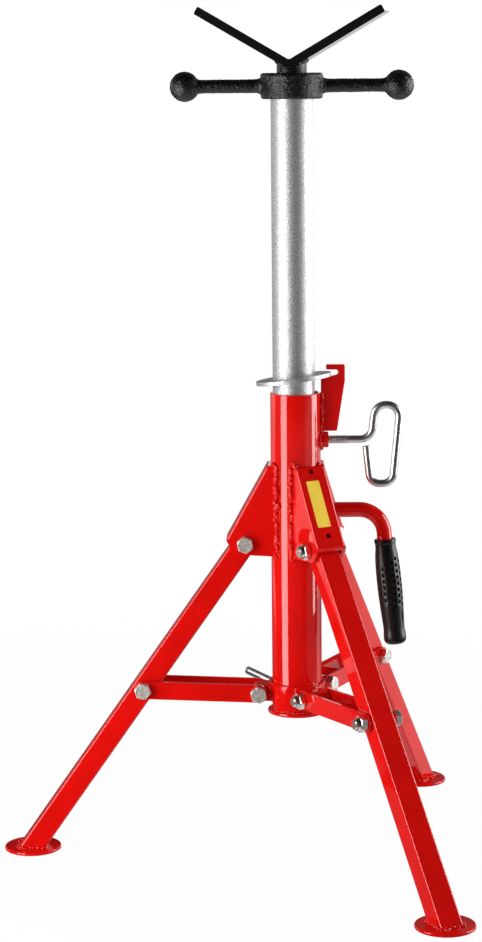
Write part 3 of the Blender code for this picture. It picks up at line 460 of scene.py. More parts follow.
@dataclass(frozen=True)
class Finish:
    """A surface finish: what every one of them has, and the name of a slot of the record.

    The tint grain mixes the two colours, the gloss grain spreads the roughness, and the bumps lie one
    over another. A socket that isn't named keeps its default.
    """

    name: str
    slot: str
    colours: tuple[str, str]
    tint: Grain
    gloss: Grain
    rough: tuple[float, float]
    bumps: Bumps
    sockets: Sockets
    contrast: tuple[float, float] = (0.35, 0.65)

    def build(self) -> bpy.types.Material:
        """Return this finish's material, made once."""
        made = bpy.data.materials.get(self.name)
        if made is None:
            made = bpy.data.materials.new(self.name)
            made.use_nodes = True
            tree = made.node_tree
            tree.nodes.clear()
            spot = add_node(tree, "TexCoord").outputs["Object"]
            surface = self.surface(tree, spot)
            add_node(tree, "OutputMaterial", inputs={"Surface": surface})
        return made

    def surface(self, tree: bpy.types.NodeTree, spot: bpy.types.NodeSocket) -> bpy.types.NodeSocket:
        """Return the shader of this finish, read at a spot in the object's coordinates."""
        noises = {grain: add_node(tree, "TexNoise", inputs={
            "Vector": spot, "Scale": per_metre(grain.size), "Detail": grain.detail,
            "Roughness": grain.rough}).outputs["Fac"]
            for grain in dict.fromkeys((self.tint, self.gloss, *(grain for grain, _ in self.bumps)))}
        share, rough = (
            add_node(tree, "MapRange", inputs=dict(zip(RAMP, (noises[grain], *ends)))).outputs["Result"]
            for grain, ends in ((self.tint, (*self.contrast, 0.0, 1.0)),
                                (self.gloss, (*GLOSS_ENDS, *self.rough))))
        first, second = (linear(colour) for colour in self.colours)
        colour = add_node(tree, "Mix", {"data_type": "RGBA"}, {"Factor": share, "A": first, "B": second})
        under: dict[str | int, object] = {}
        for grain, depth in self.bumps:
            bump = add_node(tree, "Bump", inputs={
                "Height": noises[grain], "Distance": depth / 1000, "Strength": 1.0, **under})
            under = {"Normal": bump.outputs["Normal"]}
        skin = dict(self.sockets)
        if "Coat Weight" in skin:
            under["Coat Normal"] = under["Normal"]
        return add_node(tree, "BsdfPrincipled", inputs={
            "Base Color": colour.outputs["Result"], "Roughness": rough, **skin, **under}).outputs["BSDF"]


@dataclass(frozen=True)
class PowderCoat(Finish):
    """Red polyester powder coat, sprayed and baked: a mirror-like skin with a faint orange-peel ripple."""

    name: str = "powder_coat_red"
    slot: str = "red_paint"
    colours: tuple[str, str] = ("DA100C", "CE0E0A")
    tint: Grain = Grain(42.0, 3.0)
    gloss: Grain = Grain(1.4, 1.0)
    rough: tuple[float, float] = (0.50, 0.62)
    bumps: Bumps = ((Grain(5.5, 1.0), 0.012), (gloss, 0.004))
    sockets: Sockets = (("Specular IOR Level", 0.0), ("IOR", 1.5), ("Coat Weight", 1.0),
                        ("Coat Roughness", 0.035), ("Coat IOR", 1.52))


@dataclass(frozen=True)
class ZincPlate(Finish):
    """Zinc-plated steel tube: pale and matt, its 1.6 mm crystal grain breaking every reflection's edge.

    The real grain is finer. It is drawn as coarse as it has to be to show.
    """

    name: str = "zinc_plated_steel"
    slot: str = "zinc_tube"
    colours: tuple[str, str] = ("E4E5E7", "B6B8BB")
    tint: Grain = Grain(1.6, 2.0, 0.6)
    gloss: Grain = tint
    rough: tuple[float, float] = (0.46, 0.60)
    bumps: Bumps = ((tint, 0.34),)
    sockets: Sockets = METAL
    contrast: tuple[float, float] = (0.38, 0.62)


@dataclass(frozen=True)
class NickelPlate(Finish):
    """Nickel-plated forged bolts: bright and slightly warm, with the forging's shallow 3 mm dents."""

    name: str = "nickel_plated_bolt"
    slot: str = "bright_bolts"
    colours: tuple[str, str] = ("F4EFEA", "D2CAC3")
    tint: Grain = Grain(3.2, 2.0)
    gloss: Grain = Grain(0.9, 1.0)
    rough: tuple[float, float] = (0.50, 0.66)
    bumps: Bumps = ((tint, 0.30),)
    sockets: Sockets = METAL


@dataclass(frozen=True)
class ChromeWire(Finish):
    """Bright-drawn plated wire: near-mirror, with a fine 0.8 mm unevenness from the drawing."""

    name: str = "bright_plated_wire"
    slot: str = "wire_chrome"
    colours: tuple[str, str] = ("ECECED", "D2D3D5")
    tint: Grain = Grain(9.0, 2.0)
    gloss: Grain = Grain(0.8, 2.0)
    rough: tuple[float, float] = (0.26, 0.34)
    bumps: Bumps = ((gloss, 0.012),)
    sockets: Sockets = METAL


@dataclass(frozen=True)
class CastIron(Finish):
    """Sand-cast iron under black enamel: a skin pebbled at 1.3 and 4 mm, glinting where it faces a lamp."""

    name: str = "cast_iron_black_enamel"
    slot: str = "black_cast"
    colours: tuple[str, str] = ("0C0C0D", "131314")
    tint: Grain = Grain(4.0, 1.0)
    gloss: Grain = Grain(1.3, 2.0, 0.6)
    rough: tuple[float, float] = (0.16, 0.30)
    bumps: Bumps = ((tint, 0.50), (gloss, 0.62))
    sockets: Sockets = (("IOR", 1.5),)


@dataclass(frozen=True)
class BlackEnamel(Finish):
    """Satin black enamel on rolled plate: dark, with a shallow 6 mm roll and 0.9 mm dust in it."""

    name: str = "satin_black_enamel"
    slot: str = "black_plate"
    colours: tuple[str, str] = ("0D0D0E", "111112")
    tint: Grain = Grain(6.0, 2.0)
    gloss: Grain = Grain(0.9, 1.0)
    rough: tuple[float, float] = (0.09, 0.15)
    bumps: Bumps = ((tint, 0.03), (gloss, 0.01))
    sockets: Sockets = (("IOR", 1.48),)


@dataclass(frozen=True)
class MouldedRubber(Finish):
    """Moulded black rubber: matt, with the leathery 1 mm skin of its mould."""

    name: str = "moulded_rubber_black"
    slot: str = "grip_rubber"
    colours: tuple[str, str] = ("0A0A0B", "0F0F10")
    tint: Grain = Grain(14.0, 2.0)
    gloss: Grain = Grain(1.0, 2.0)
    rough: tuple[float, float] = (0.28, 0.38)
    bumps: Bumps = ((gloss, 0.02),)
    sockets: Sockets = (("IOR", 1.45),)


@dataclass(frozen=True)
class Vinyl(Finish):
    """Self-adhesive vinyl: a bright yellow film of low gloss that sits a little uneven on the paint."""

    name: str = "vinyl_yellow"
    slot: str = "red_paint"
    colours: tuple[str, str] = ("FFDA44", "FCD23A")
    tint: Grain = Grain(12.0, 2.0)
    gloss: Grain = tint
    rough: tuple[float, float] = (0.34, 0.44)
    bumps: Bumps = ((tint, 0.02),)
    sockets: Sockets = (("IOR", 1.46),)


RED = PowderCoat()
WELD_RED = PowderCoat("powder_coat_red_weld", bumps=(*RED.bumps, (Grain(2.2, 2.0, 0.6), 0.85)))
ZINC = ZincPlate()
NICKEL = NickelPlate()
NICKEL_SMOOTH = NickelPlate("nickel_plated_bolt_smooth", rough=(0.22, 0.32), bumps=((NICKEL.tint, 0.16),))
NICKEL_NUT = NickelPlate("nickel_plated_nut", rough=(0.14, 0.26), bumps=((NICKEL.tint, 0.10),))
CHROME = ChromeWire()
CAST = CastIron()
ENAMEL = BlackEnamel()
NECK_ENAMEL = BlackEnamel("satin_black_enamel_neck", rough=(0.26, 0.42),
                          bumps=((ENAMEL.tint, 0.03), (ENAMEL.gloss, 0.22)))
RUBBER = MouldedRubber()
VINYL = Vinyl()


def finished(thing: bpy.types.Object, finish: Finish, body: str, *nodes: str) -> None:
    """Dress a piece, let it ride on its body, and let it stand for the CAD nodes that it replaces.

    Args:
        thing: The piece, in place.
        finish: Its finish.
        body: The body that it moves with.
        nodes: The CAD nodes that it stands for.
    """
    thing.data.materials.clear()
    thing.data.materials.append(finish.build())
    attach(thing, body)
    if nodes:
        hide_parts(*nodes)
    LOG.info("%s: %d faces, on %s, %s", thing.name, len(thing.data.polygons), body, finish.name)


# The stand

class Side(Enum):
    """The three legs: name, compass angle, the way their bolt heads face and the heads' turns, in degrees."""

    LEFT = ("left", 180.0, 1, (8.0, 21.0, 12.0))
    FRONT = ("front", -60.0, 1, (16.0, 4.0, 27.0))
    REAR = ("rear", 60.0, -1, (2.0, 18.0, 10.0))

    def __init__(self, label: str, azimuth: float, head: int, spins: tuple[float, float, float]) -> None:
        """Keep the facts of a leg under their own names."""
        self.label = label
        self.azimuth = math.radians(azimuth)
        self.head = head
        self.spins = spins

    @property
    def order(self) -> int:
        """Its place among the three, which the seeds of its welds are counted from."""
        return list(Side).index(self)


@dataclass(frozen=True)
class Stance:
    """What several sub-assemblies share: the post's axis and heights, and the pivots of a leg's plane."""

    post_x: float = 0.081375
    post_radius: float = 0.030
    post_top: float = 0.562
    screw_height: float = 0.5054
    pin_height: float = 0.1993
    pin_azimuth: float = math.radians(130.0)
    pivot_radius: float = 0.061
    pivot_height: float = 0.382
    foot_circle: float = 0.3255
    foot_thickness: float = 0.004
    leg_to_link: float = 0.2185
    collar_radius: float = 0.0465
    collar_height: float = 0.1978
    mast_offset: float = 0.0019
    bracket_half: float = 0.0194  # half a bracket's width
    link_half: float = 0.0189

    @property
    def leg_angle(self) -> float:
        """Lean of a leg from upright."""
        return math.atan2(self.foot_circle - self.pivot_radius, self.pivot_height - self.foot_thickness)

    @property
    def link_run(self) -> tuple[float, float]:
        """Run and rise of a link, from the collar to the leg."""
        run = self.pivot_radius + self.leg_to_link * math.sin(self.leg_angle) - self.collar_radius
        rise = self.pivot_height - self.leg_to_link * math.cos(self.leg_angle) - self.collar_height
        return run, rise

    @property
    def post(self) -> Matrix:
        """Place of the post's axis."""
        return Matrix.Translation((self.post_x, 0, 0))

    @property
    def mast(self) -> Matrix:
        """Place of the mast's axis, which the clamp screw presses to one side."""
        return Matrix.Translation((self.post_x - self.mast_offset, 0, 0))

    def plane(self, side: Side) -> Matrix:
        """Place of the plane that a leg moves in."""
        return self.post @ Matrix.Rotation(side.azimuth, 4, "Z")

    def leg_pivot(self, side: Side) -> Matrix:
        """Place of a leg's pivot, square to the post."""
        return self.plane(side) @ Matrix.Translation((self.pivot_radius, 0, self.pivot_height))

    def link_pivot(self, side: Side) -> Matrix:
        """Place of a link's inner pivot, square to the post."""
        return self.plane(side) @ Matrix.Translation((self.collar_radius, 0, self.collar_height))

    def leg(self, side: Side) -> Matrix:
        """Place of a leg's pivot, with local -Z down the leg."""
        return self.leg_pivot(side) @ Matrix.Rotation(-self.leg_angle, 4, "Y")

    def link(self, side: Side) -> Matrix:
        """Place of a link's inner pivot, with local X along the link."""
        run, rise = self.link_run
        return self.link_pivot(side) @ Matrix.Rotation(-math.atan2(rise, run), 4, "Y")


STANCE = Stance()
FLANKS = ((1, "a"), (-1, "b"))   # the two sides of a plate, and the letters of their welds


def post_cutter(low: float, high: float) -> bpy.types.Object:
    """Return a rod as wide as the post and its gap, which shapes the ends that are welded to it."""
    return rod("post", STANCE.post_radius + WELD_GAP, (0, 0, low), (0, 0, high), ROUND)


def saddle(radius: float, height: float = 0.0) -> list[Point]:
    """Return the ring that a weld runs in, round a rod that meets the post at a height."""
    return [(math.sqrt(STANCE.post_radius ** 2 - across ** 2) + 0.0008, across, height + up)
            for across, up in circle(radius, 40)]


@dataclass
class Fasteners:
    """Hexagon bolts with lock nuts: one bolt and one nut are modelled, and copied to every pivot."""

    radius: float = 0.006
    flats: float = 0.018
    head: float = 0.0078
    nut: float = 0.0115
    nut_hex: float = 0.0082
    tip: float = 0.002
    models: dict[str, bpy.types.Object] = field(default_factory=dict)

    def hexagon(self, name: str, height: float, both: bool) -> bpy.types.Object:
        """Return a hexagon on z = 0 whose corners are cut back by a cone at the top, or at both ends."""
        thing = primitive(name, bpy.ops.mesh.primitive_cylinder_add, vertices=6, depth=height,
                          radius=self.flats / math.sqrt(3), location=(0, 0, height / 2))
        wide = self.flats / 2 * 1.22
        near = self.flats / 2 * 0.93
        slope = (wide - near) * math.tan(math.radians(28))
        cone = turned("cone", [(near if both else wide, 0), (wide, slope if both else 0.0001),
                               (wide, height - slope), (near, height)], 48)
        combine(thing, Join.COMMON, cone)
        return bevelled(thing, 0.00035, 25.0)

    def build(self) -> None:
        """Model the bolt, head up from z = 0 and shank down, and the nut, open at z = 0."""
        head = self.hexagon("bolt_model", self.head, False)
        with editing(head):
            pick(head, Part.FACE, lambda middle, normal: normal.z > 0.95 and middle.z > self.head * 0.9)
            bpy.ops.mesh.inset(thickness=0.0011)
            bpy.ops.transform.translate(value=(0, 0, -0.0003))
        washer = turned("washer", [(self.flats / 2 * 0.95, -WELD_GAP * 0.8),
                                   (self.flats / 2 * 0.97, 0.0004)], 40)
        length = 2 * (STANCE.bracket_half + WELD_GAP) + self.nut + self.tip
        shank = turned("shank", [(self.radius - 0.0012, -length), (self.radius, -length + 0.0012),
                                 (self.radius, -length + 0.018), (self.radius, 0.001)], 28)
        self.models["bolt"] = smoothed(merged(head, washer, shank), 30.0, True)
        nut = self.hexagon("nut_model", self.nut_hex, True)
        collar = turned("nut_collar", [
            (self.flats / 2 * 0.90, self.nut_hex - 0.0006), (self.flats / 2 * 0.88, self.nut_hex + 0.0008),
            (self.flats / 2 * 0.80, self.nut - 0.0007), (self.flats / 2 * 0.72, self.nut),
            (self.radius + 0.0012, self.nut), (self.radius + 0.0007, self.nut - 0.0007),
            (self.radius + 0.0005, self.nut_hex - 0.0006)], 40, True)
        hole = rod("hole", self.radius + 0.0003, (0, 0, -0.01), (0, 0, 0.03), 40)
        combine(nut, Join.CUT, hole)
        self.models["nut"] = smoothed(merged(nut, collar), 30.0, True)

    def fit(self, name: str, pivot: Matrix, half: float, side: int, bolt_body: str, spin: float) -> None:
        """Put a bolt and its nut on a pivot.

        Args:
            name: Start of the pieces' names, as the CAD nodes'.
            pivot: The pivot, with its bolt along local Y.
            half: Half the width that the bolt holds together.
            side: 1 or -1, for the side of local Y that the head is on.
            bolt_body: The body that both move with.
            spin: Degrees that the head is turned by, as tightened.
        """
        head = NICKEL if name.startswith("left") else NICKEL_SMOOTH
        for part, way in (("bolt", side), ("nut", -side)):
            place = (pivot @ Matrix.Translation((0, way * (half + WELD_GAP), 0))
                     @ Matrix.Rotation(-QUARTER * way, 4, "X") @ Matrix.Rotation(math.radians(spin), 4, "Z"))
            piece = copied(self.models[part], f"{name}_{part}_dressed", place)
            finished(piece, head if part == "bolt" else NICKEL_NUT, bolt_body, f"{name}_{part}")

    def clear(self) -> None:
        """Remove the two models once every copy is made."""
        for model in self.models.values():
            bpy.data.objects.remove(model)
        self.models.clear()


@dataclass
class Post:
    """The outer tube with its pin and screw holes, and the flange at its foot."""

    wall: float = 0.0028
    flange_bottom: float = 0.172
    flange_radius: float = 0.0355
    flange_thickness: float = 0.004
    edge: float = 0.0005
    pin_radius: float = 0.0044
    pin_heights: tuple[float, float] = (STANCE.pin_height, 0.29958)
    screw_radius: float = 0.0054
    bead: float = 0.0014

    def build(self) -> None:
        """Turn the tube and the flange, and drill the tube."""
        low = self.flange_bottom + self.flange_thickness + WELD_GAP
        radius, top, screw, edge = STANCE.post_radius, STANCE.post_top, STANCE.screw_height, self.edge
        bore = radius - self.wall
        tube = turned("post_tube", [
            (radius - edge, low), (radius, low + edge), (radius, top - edge),
            (radius - edge * 0.3, top - edge * 0.3), (radius - edge, top),
            (bore + edge, top), (bore, top - edge), (bore, low)], ROUND, True)
        way = Vector((math.cos(STANCE.pin_azimuth), math.sin(STANCE.pin_azimuth), 0)) * 0.05
        holes = [rod("pin_hole", self.pin_radius, (0, 0, high), way + Vector((0, 0, high)))
                 for high in self.pin_heights]
        holes.append(rod("screw_hole", self.screw_radius, (0, 0, screw), (0.05, 0, screw)))
        combine(tube, Join.CUT, *holes)
        finished(smoothed(placed(tube, STANCE.post)), RED, "post", "outer_tube")
        wide, thick = self.flange_radius, self.flange_thickness
        flange = turned("post_flange", [
            (bore, 0), (wide - 0.0011, 0), (wide - 0.0003, 0.0003), (wide, 0.0011), (wide, thick - 0.0011),
            (wide - 0.0003, thick - 0.0003), (wide - 0.0011, thick), (bore, thick)], ROUND, True)
        place = STANCE.post @ Matrix.Translation((0, 0, self.flange_bottom))
        finished(smoothed(placed(flange, place), 40.0, True), RED, "post", "base_flange")
        seam = [(*spot, self.flange_bottom + thick + 0.0006) for spot in circle(radius + 0.0004, 60)]
        bead = weld_bead("flange_weld", seam, self.bead, 11, 0.8)
        finished(placed(bead, STANCE.post), WELD_RED, "post")


@dataclass
class Bracket:
    """A folded plate bracket that carries a leg, welded to the post down both of its sides."""

    side: Side
    top: float = 0.477
    sole: float = 0.3695
    sole_drop: float = 0.004
    bead: float = 0.0037

    def build(self) -> None:
        """Round the folded plate's edges and weld it on."""
        name = self.side.label
        plate = refined(f"{name}_bracket", f"{name}_bracket_dressed", 0.0006)
        finished(plate, RED, "post", f"{name}_bracket")
        for way, letter in FLANKS:
            across = STANCE.bracket_half + 0.0009
            inward = math.sqrt(STANCE.post_radius ** 2 - across ** 2) + 0.0011
            low = self.sole - self.sole_drop + 0.0012
            path = [(inward + 0.0030, way * (across - 0.0045), self.top + 0.0004),
                    (inward + 0.0012, way * (across - 0.0020), self.top + 0.0010),
                    (inward, way * across, self.top - 0.0012), (inward, way * across, low)]
            seed = 20 + way + 3 * self.side.order
            bead = weld_bead(f"{name}_bracket_weld_{letter}", path, self.bead, seed, 1.0, 0.00065)
            finished(placed(bead, STANCE.plane(self.side)), WELD_RED, "post")


@dataclass
class Label:
    """A blank yellow vinyl label on the front bracket's face."""

    width: float = 0.0172
    length: float = 0.0580
    thickness: float = 0.0003
    corner: float = 0.0012
    top: float = Bracket.top
    top_reach: float = 0.034
    toe: tuple[float, float] = (0.084, 0.387)
    share: float = 0.455
    aside: float = -0.0024

    def build(self) -> None:
        """Cut the film, round its corners, and lay it on the slope."""
        head = Vector((self.top_reach, 0, self.top))
        foot = Vector((self.toe[0], 0, self.toe[1]))
        down = (foot - head).normalized()
        out = Vector((-down.z, 0, down.x))
        film = block("front_label", (-self.length / 2, -self.width / 2, 0.0),
                     (self.length / 2, self.width / 2, self.thickness))
        with editing(film):
            pick(film, Part.EDGE, lambda middle, way: abs(way.z) > 0.9)
            bpy.ops.mesh.bevel(offset=self.corner, segments=4, affect="EDGES")
        middle = head.lerp(foot, self.share) + out * 0.00012 + Vector((0, self.aside, 0))
        across = out.cross(down)
        place = Matrix((down, across, out)).transposed().to_4x4()
        place.translation = middle
        finished(placed(film, STANCE.plane(Side.FRONT) @ place), VINYL, "post")


@dataclass
class Leg:
    """A leg of rectangular tube, open at the top, on a round foot plate."""

    side: Side
    width: float = 0.0288
    depth: float = 0.0267
    wall: float = 0.002
    corner: float = 0.0025
    top: float = 0.012
    foot_radius: float = 0.0345
    bolt_hole: float = 0.0064
    bead: float = 0.0022

    def build(self) -> None:
        """Make the tube, its bolt holes, the foot and the weld between them."""
        name = self.side.label
        lean = STANCE.leg_angle
        length = (STANCE.pivot_height - STANCE.foot_thickness - WELD_GAP) / math.cos(lean)
        half_x, half_y = self.depth / 2, self.width / 2
        tube = block(f"{name}_leg_tube", (-half_x, -half_y, -length - 0.03), (half_x, half_y, self.top))
        with editing(tube):
            pick(tube, Part.EDGE, lambda middle, way: abs(way.z) > 0.99)
            bpy.ops.mesh.bevel(offset=self.corner, segments=4, affect="EDGES")
            slice_off((0, 0, -length), (-math.sin(lean), 0, -math.cos(lean)), False)
            pick(tube, Part.FACE, lambda middle, normal: normal.z > 0.99)
            bpy.ops.mesh.delete(type="FACE")
        apply_modifier(tube, "SOLIDIFY", thickness=self.wall, offset=-1.0, use_even_offset=True)
        for low in (0.0, -STANCE.leg_to_link):
            combine(tube, Join.CUT, rod("hole", self.bolt_hole, (0, -0.02, low), (0, 0.02, low)))
        tube = bevelled(tube, 0.0003, 60.0)
        finished(smoothed(placed(tube, STANCE.leg(self.side)), 30.0, True), RED, f"{name}_leg", f"{name}_leg")
        wide, thick = self.foot_radius, STANCE.foot_thickness
        foot = turned(f"{name}_foot_plate", [
            (wide - 0.001, 0), (wide - 0.0003, 0.0003), (wide, 0.001), (wide, thick - 0.0012),
            (wide - 0.0004, thick - 0.0004), (wide - 0.0012, thick)], 96)
        spot = STANCE.plane(self.side) @ Matrix.Translation((STANCE.foot_circle, 0, 0))
        finished(smoothed(placed(foot, spot), 40.0, True), RED, f"{name}_leg", f"{name}_foot")
        reach_x, reach_y = half_x / math.cos(lean) + 0.0004, half_y + 0.0004
        high = thick + 0.0005
        ring = [(reach_x, -reach_y, high), (reach_x, reach_y, high), (-reach_x, reach_y, high),
                (-reach_x, -reach_y, high), (reach_x, -reach_y, high)]
        bead = weld_bead(f"{name}_foot_weld", ring, self.bead, 50 + self.side.order, 0.8)
        with editing(bead):
            slice_off((0, 0, thick - 0.0005), (0, 0, -1))
        finished(placed(bead, spot), WELD_RED, f"{name}_leg")


@dataclass
class Link:
    """A folded channel link between the collar and a leg."""

    side: Side

    def build(self, fasteners: Fasteners) -> None:
        """Round the channel's edges and bolt the link, and the leg above it, to their pivots."""
        name, spins = self.side.label, self.side.spins
        channel = refined(f"{name}_link", f"{name}_link_dressed", 0.0006)
        finished(channel, RED, f"{name}_link", f"{name}_link")
        head = self.side.head
        leg_pivot, inner = STANCE.leg_pivot(self.side), STANCE.link_pivot(self.side)
        outer = STANCE.link(self.side) @ Matrix.Translation((math.hypot(*STANCE.link_run), 0, 0))
        fasteners.fit(f"{name}_leg_pivot", leg_pivot, STANCE.bracket_half, head, "post", spins[0])
        fasteners.fit(f"{name}_link_outer", outer, STANCE.link_half, head, f"{name}_link", spins[1])
        fasteners.fit(f"{name}_link_inner", inner, STANCE.link_half, head, "collar", spins[2])


@dataclass
class Collar:
    """The sliding collar with its lugs, and the spring pin that locks it to the post."""

    bottom: float = 0.1868
    radius: float = 0.034
    lug_half: float = 0.0127
    bead: float = 0.0016
    pin_radius: float = 0.004
    knob_start: float = 0.0403
    knob_length: float = 0.0085
    knob_radius: float = 0.0062
    loop_length: float = 0.049
    loop_half: float = 0.0030
    loop_wire: float = 0.0019
    loop_roll: float = math.radians(-70.0)
    loop_lift: float = math.radians(6.4)

    def build(self) -> None:
        """Dress the collar, and make its pin and its loop."""
        collar = refined("sliding_collar", "collar_dressed", 0.0005)
        finished(collar, RED, "collar", "sliding_collar")
        for side in Side:
            for way, letter in FLANKS:
                across = way * self.lug_half
                inward = math.sqrt(self.radius ** 2 - self.lug_half ** 2) + 0.0004
                path = [(inward, across, self.bottom + 0.0028), (inward, across, self.bottom + 0.0195)]
                bead = weld_bead(f"{side.label}_lug_weld_{letter}", path, self.bead,
                                 70 + 2 * side.order + way, 1.0, 0.0005)
                finished(placed(bead, STANCE.plane(side)), WELD_RED, "collar")
        line = (STANCE.post @ Matrix.Translation((0, 0, STANCE.pin_height))
                @ Matrix.Rotation(STANCE.pin_azimuth, 4, "Z"))
        tip = STANCE.post_radius + 0.0006
        end = self.knob_start + self.knob_length
        wide = self.knob_radius
        pin = turned("lock_pin_dressed", [
            (self.pin_radius - 0.0006, tip), (self.pin_radius, tip + 0.0006),
            (self.pin_radius, self.knob_start), (wide - 0.0004, self.knob_start),
            (wide, self.knob_start + 0.0004), (wide, self.knob_start + 0.0024),
            (wide - 0.0006, self.knob_start + 0.0030), (wide - 0.0006, self.knob_start + 0.0036),
            (wide, self.knob_start + 0.0042), (wide, end - 0.0012), (wide - 0.0004, end - 0.0004),
            (wide - 0.0012, end)], 48)
        pin = placed(pin, line @ Matrix.Rotation(QUARTER, 4, "Y"))
        finished(smoothed(pin, 30.0), CHROME, "lock_pin", "lock_pin")
        half, far = self.loop_half, self.loop_length
        start = WELD_GAP + (half + self.loop_wire) * math.sin(self.loop_lift)
        bow = half * 0.93
        loop = bent_wire("lock_pin_loop_dressed", [(start, half), (far, half), (far, -half), (start, -half)],
                         [0, bow, bow, 0], self.loop_wire, 16, 0.0003)
        hang = (Matrix.Translation((end, 0, 0)) @ Matrix.Rotation(-self.loop_lift, 4, "Y")
                @ Matrix.Rotation(self.loop_roll - QUARTER, 4, "X"))
        finished(smoothed(placed(loop, line @ hang), 40.0), CHROME, "lock_pin", "lock_pin_loop")


@dataclass
class Clamp:
    """The hooked catch plate, the tilting ring, and the screw with its bent wire handle."""

    bead: float = 0.0023
    ring_radius: float = 0.045
    ring_hole: float = 0.0260
    ring_thickness: float = 0.0048
    ring_tilt: float = math.radians(7.4)
    ring_roll: float = math.radians(2.7)
    boss_radius: float = 0.0095
    boss_reach: float = 0.0092
    wire: float = 0.0045
    thread: float = 0.0050
    thread_length: float = 0.0385
    thread_pitch: float = 0.0018
    bend_out: float = 0.0598
    bend_radius: float = 0.015

    def build(self) -> None:
        """Make the plate and its welds, then the ring, then the boss and the screw."""
        catch = refined("catch_plate", "catch_plate_dressed", 0.0005)
        finished(catch, RED, "post", "catch_plate")
        inward, top = STANCE.post_radius + 0.0012, STANCE.post_top
        for way, letter in FLANKS:
            across = way * 0.0037
            path = [(inward, across, top - 0.0015), (inward, across, top - 0.0448)]
            bead = weld_bead(f"catch_weld_{letter}", path, self.bead, 80 + way)
            finished(placed(bead, STANCE.post), WELD_RED, "post")
        self.make_ring()
        self.make_screw()

    def make_ring(self) -> None:
        """Turn the ring flat and tilt it where the CAD ring lies."""
        half = self.ring_thickness / 2
        wide, bore, edge = self.ring_radius, self.ring_hole, 0.0007
        ring = turned("clamp_ring_dressed", [
            (bore, -half + edge), (bore + edge * 0.3, -half + edge * 0.3), (bore + edge, -half),
            (wide - edge, -half), (wide - edge * 0.3, -half + edge * 0.3), (wide, -half + edge),
            (wide, half - edge), (wide - edge * 0.3, half - edge * 0.3), (wide - edge, half),
            (bore + edge, half), (bore + edge * 0.3, half - edge * 0.3), (bore, half - edge)], ROUND, True)
        low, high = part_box("clamp_ring")
        lean = Matrix.Rotation(-self.ring_tilt, 4, "Y") @ Matrix.Rotation(-self.ring_roll, 4, "X")
        place = Matrix.Translation((low + high) / 2) @ lean
        finished(smoothed(placed(ring, place), 40.0, True), ZINC, "clamp_ring", "clamp_ring")

    def make_screw(self) -> None:
        """Turn the boss, weld it on, and bend the screw's wire into its handle."""
        axis = STANCE.post @ Matrix.Translation((0, 0, STANCE.screw_height))
        wide, far = self.boss_radius, STANCE.post_radius + self.boss_reach
        inner = self.thread + 0.0004
        boss = turned("screw_boss", [
            (inner, 0.020), (wide, 0.020), (wide, far - 0.0010), (wide - 0.0003, far - 0.0003),
            (wide - 0.0010, far), (inner + 0.0006, far), (inner, far - 0.0006)], 64, True)
        boss = placed(boss, Matrix.Rotation(QUARTER, 4, "Y"))
        combine(boss, Join.CUT, post_cutter(-0.03, 0.03))
        finished(smoothed(placed(boss, axis), 40.0, True), RED, "post", "clamp_screw_boss")
        bead = weld_bead("screw_boss_weld", saddle(wide + 0.0008), self.bead, 90)
        finished(placed(bead, axis), WELD_RED, "post")
        tip = 0.025 - STANCE.mast_offset + WELD_GAP
        bend = STANCE.post_radius + WELD_GAP + self.bend_out
        top_x, low_x = bend + 0.0045, bend - 0.0012
        corners = [(tip + self.thread_length - 0.004, 0), (bend, 0), (top_x, 0.0413),
                   (top_x + 0.0301, 0.0413), (low_x + 0.0265, -0.0537), (low_x, -0.0537),
                   (bend - 0.0060, -0.0080)]
        radii = [0, self.bend_radius, 0.0142, 0.0142, 0.0125, 0.0125, 0]
        wire = bent_wire("clamp_screw_dressed", corners, radii, self.wire, 28, 0.0006, 8.0)
        smoothed(wire, 40.0)
        pitch = self.thread_pitch
        thread = threaded("thread", self.thread, self.thread - 0.0007, pitch, self.thread_length + pitch)
        thread = placed(thread, Matrix.Translation((tip - pitch, 0, 0)) @ Matrix.Rotation(QUARTER, 4, "Y"))
        smoothed(thread, 20.0)
        finished(placed(merged(wire, thread), axis), CHROME, "clamp_screw", "clamp_screw")


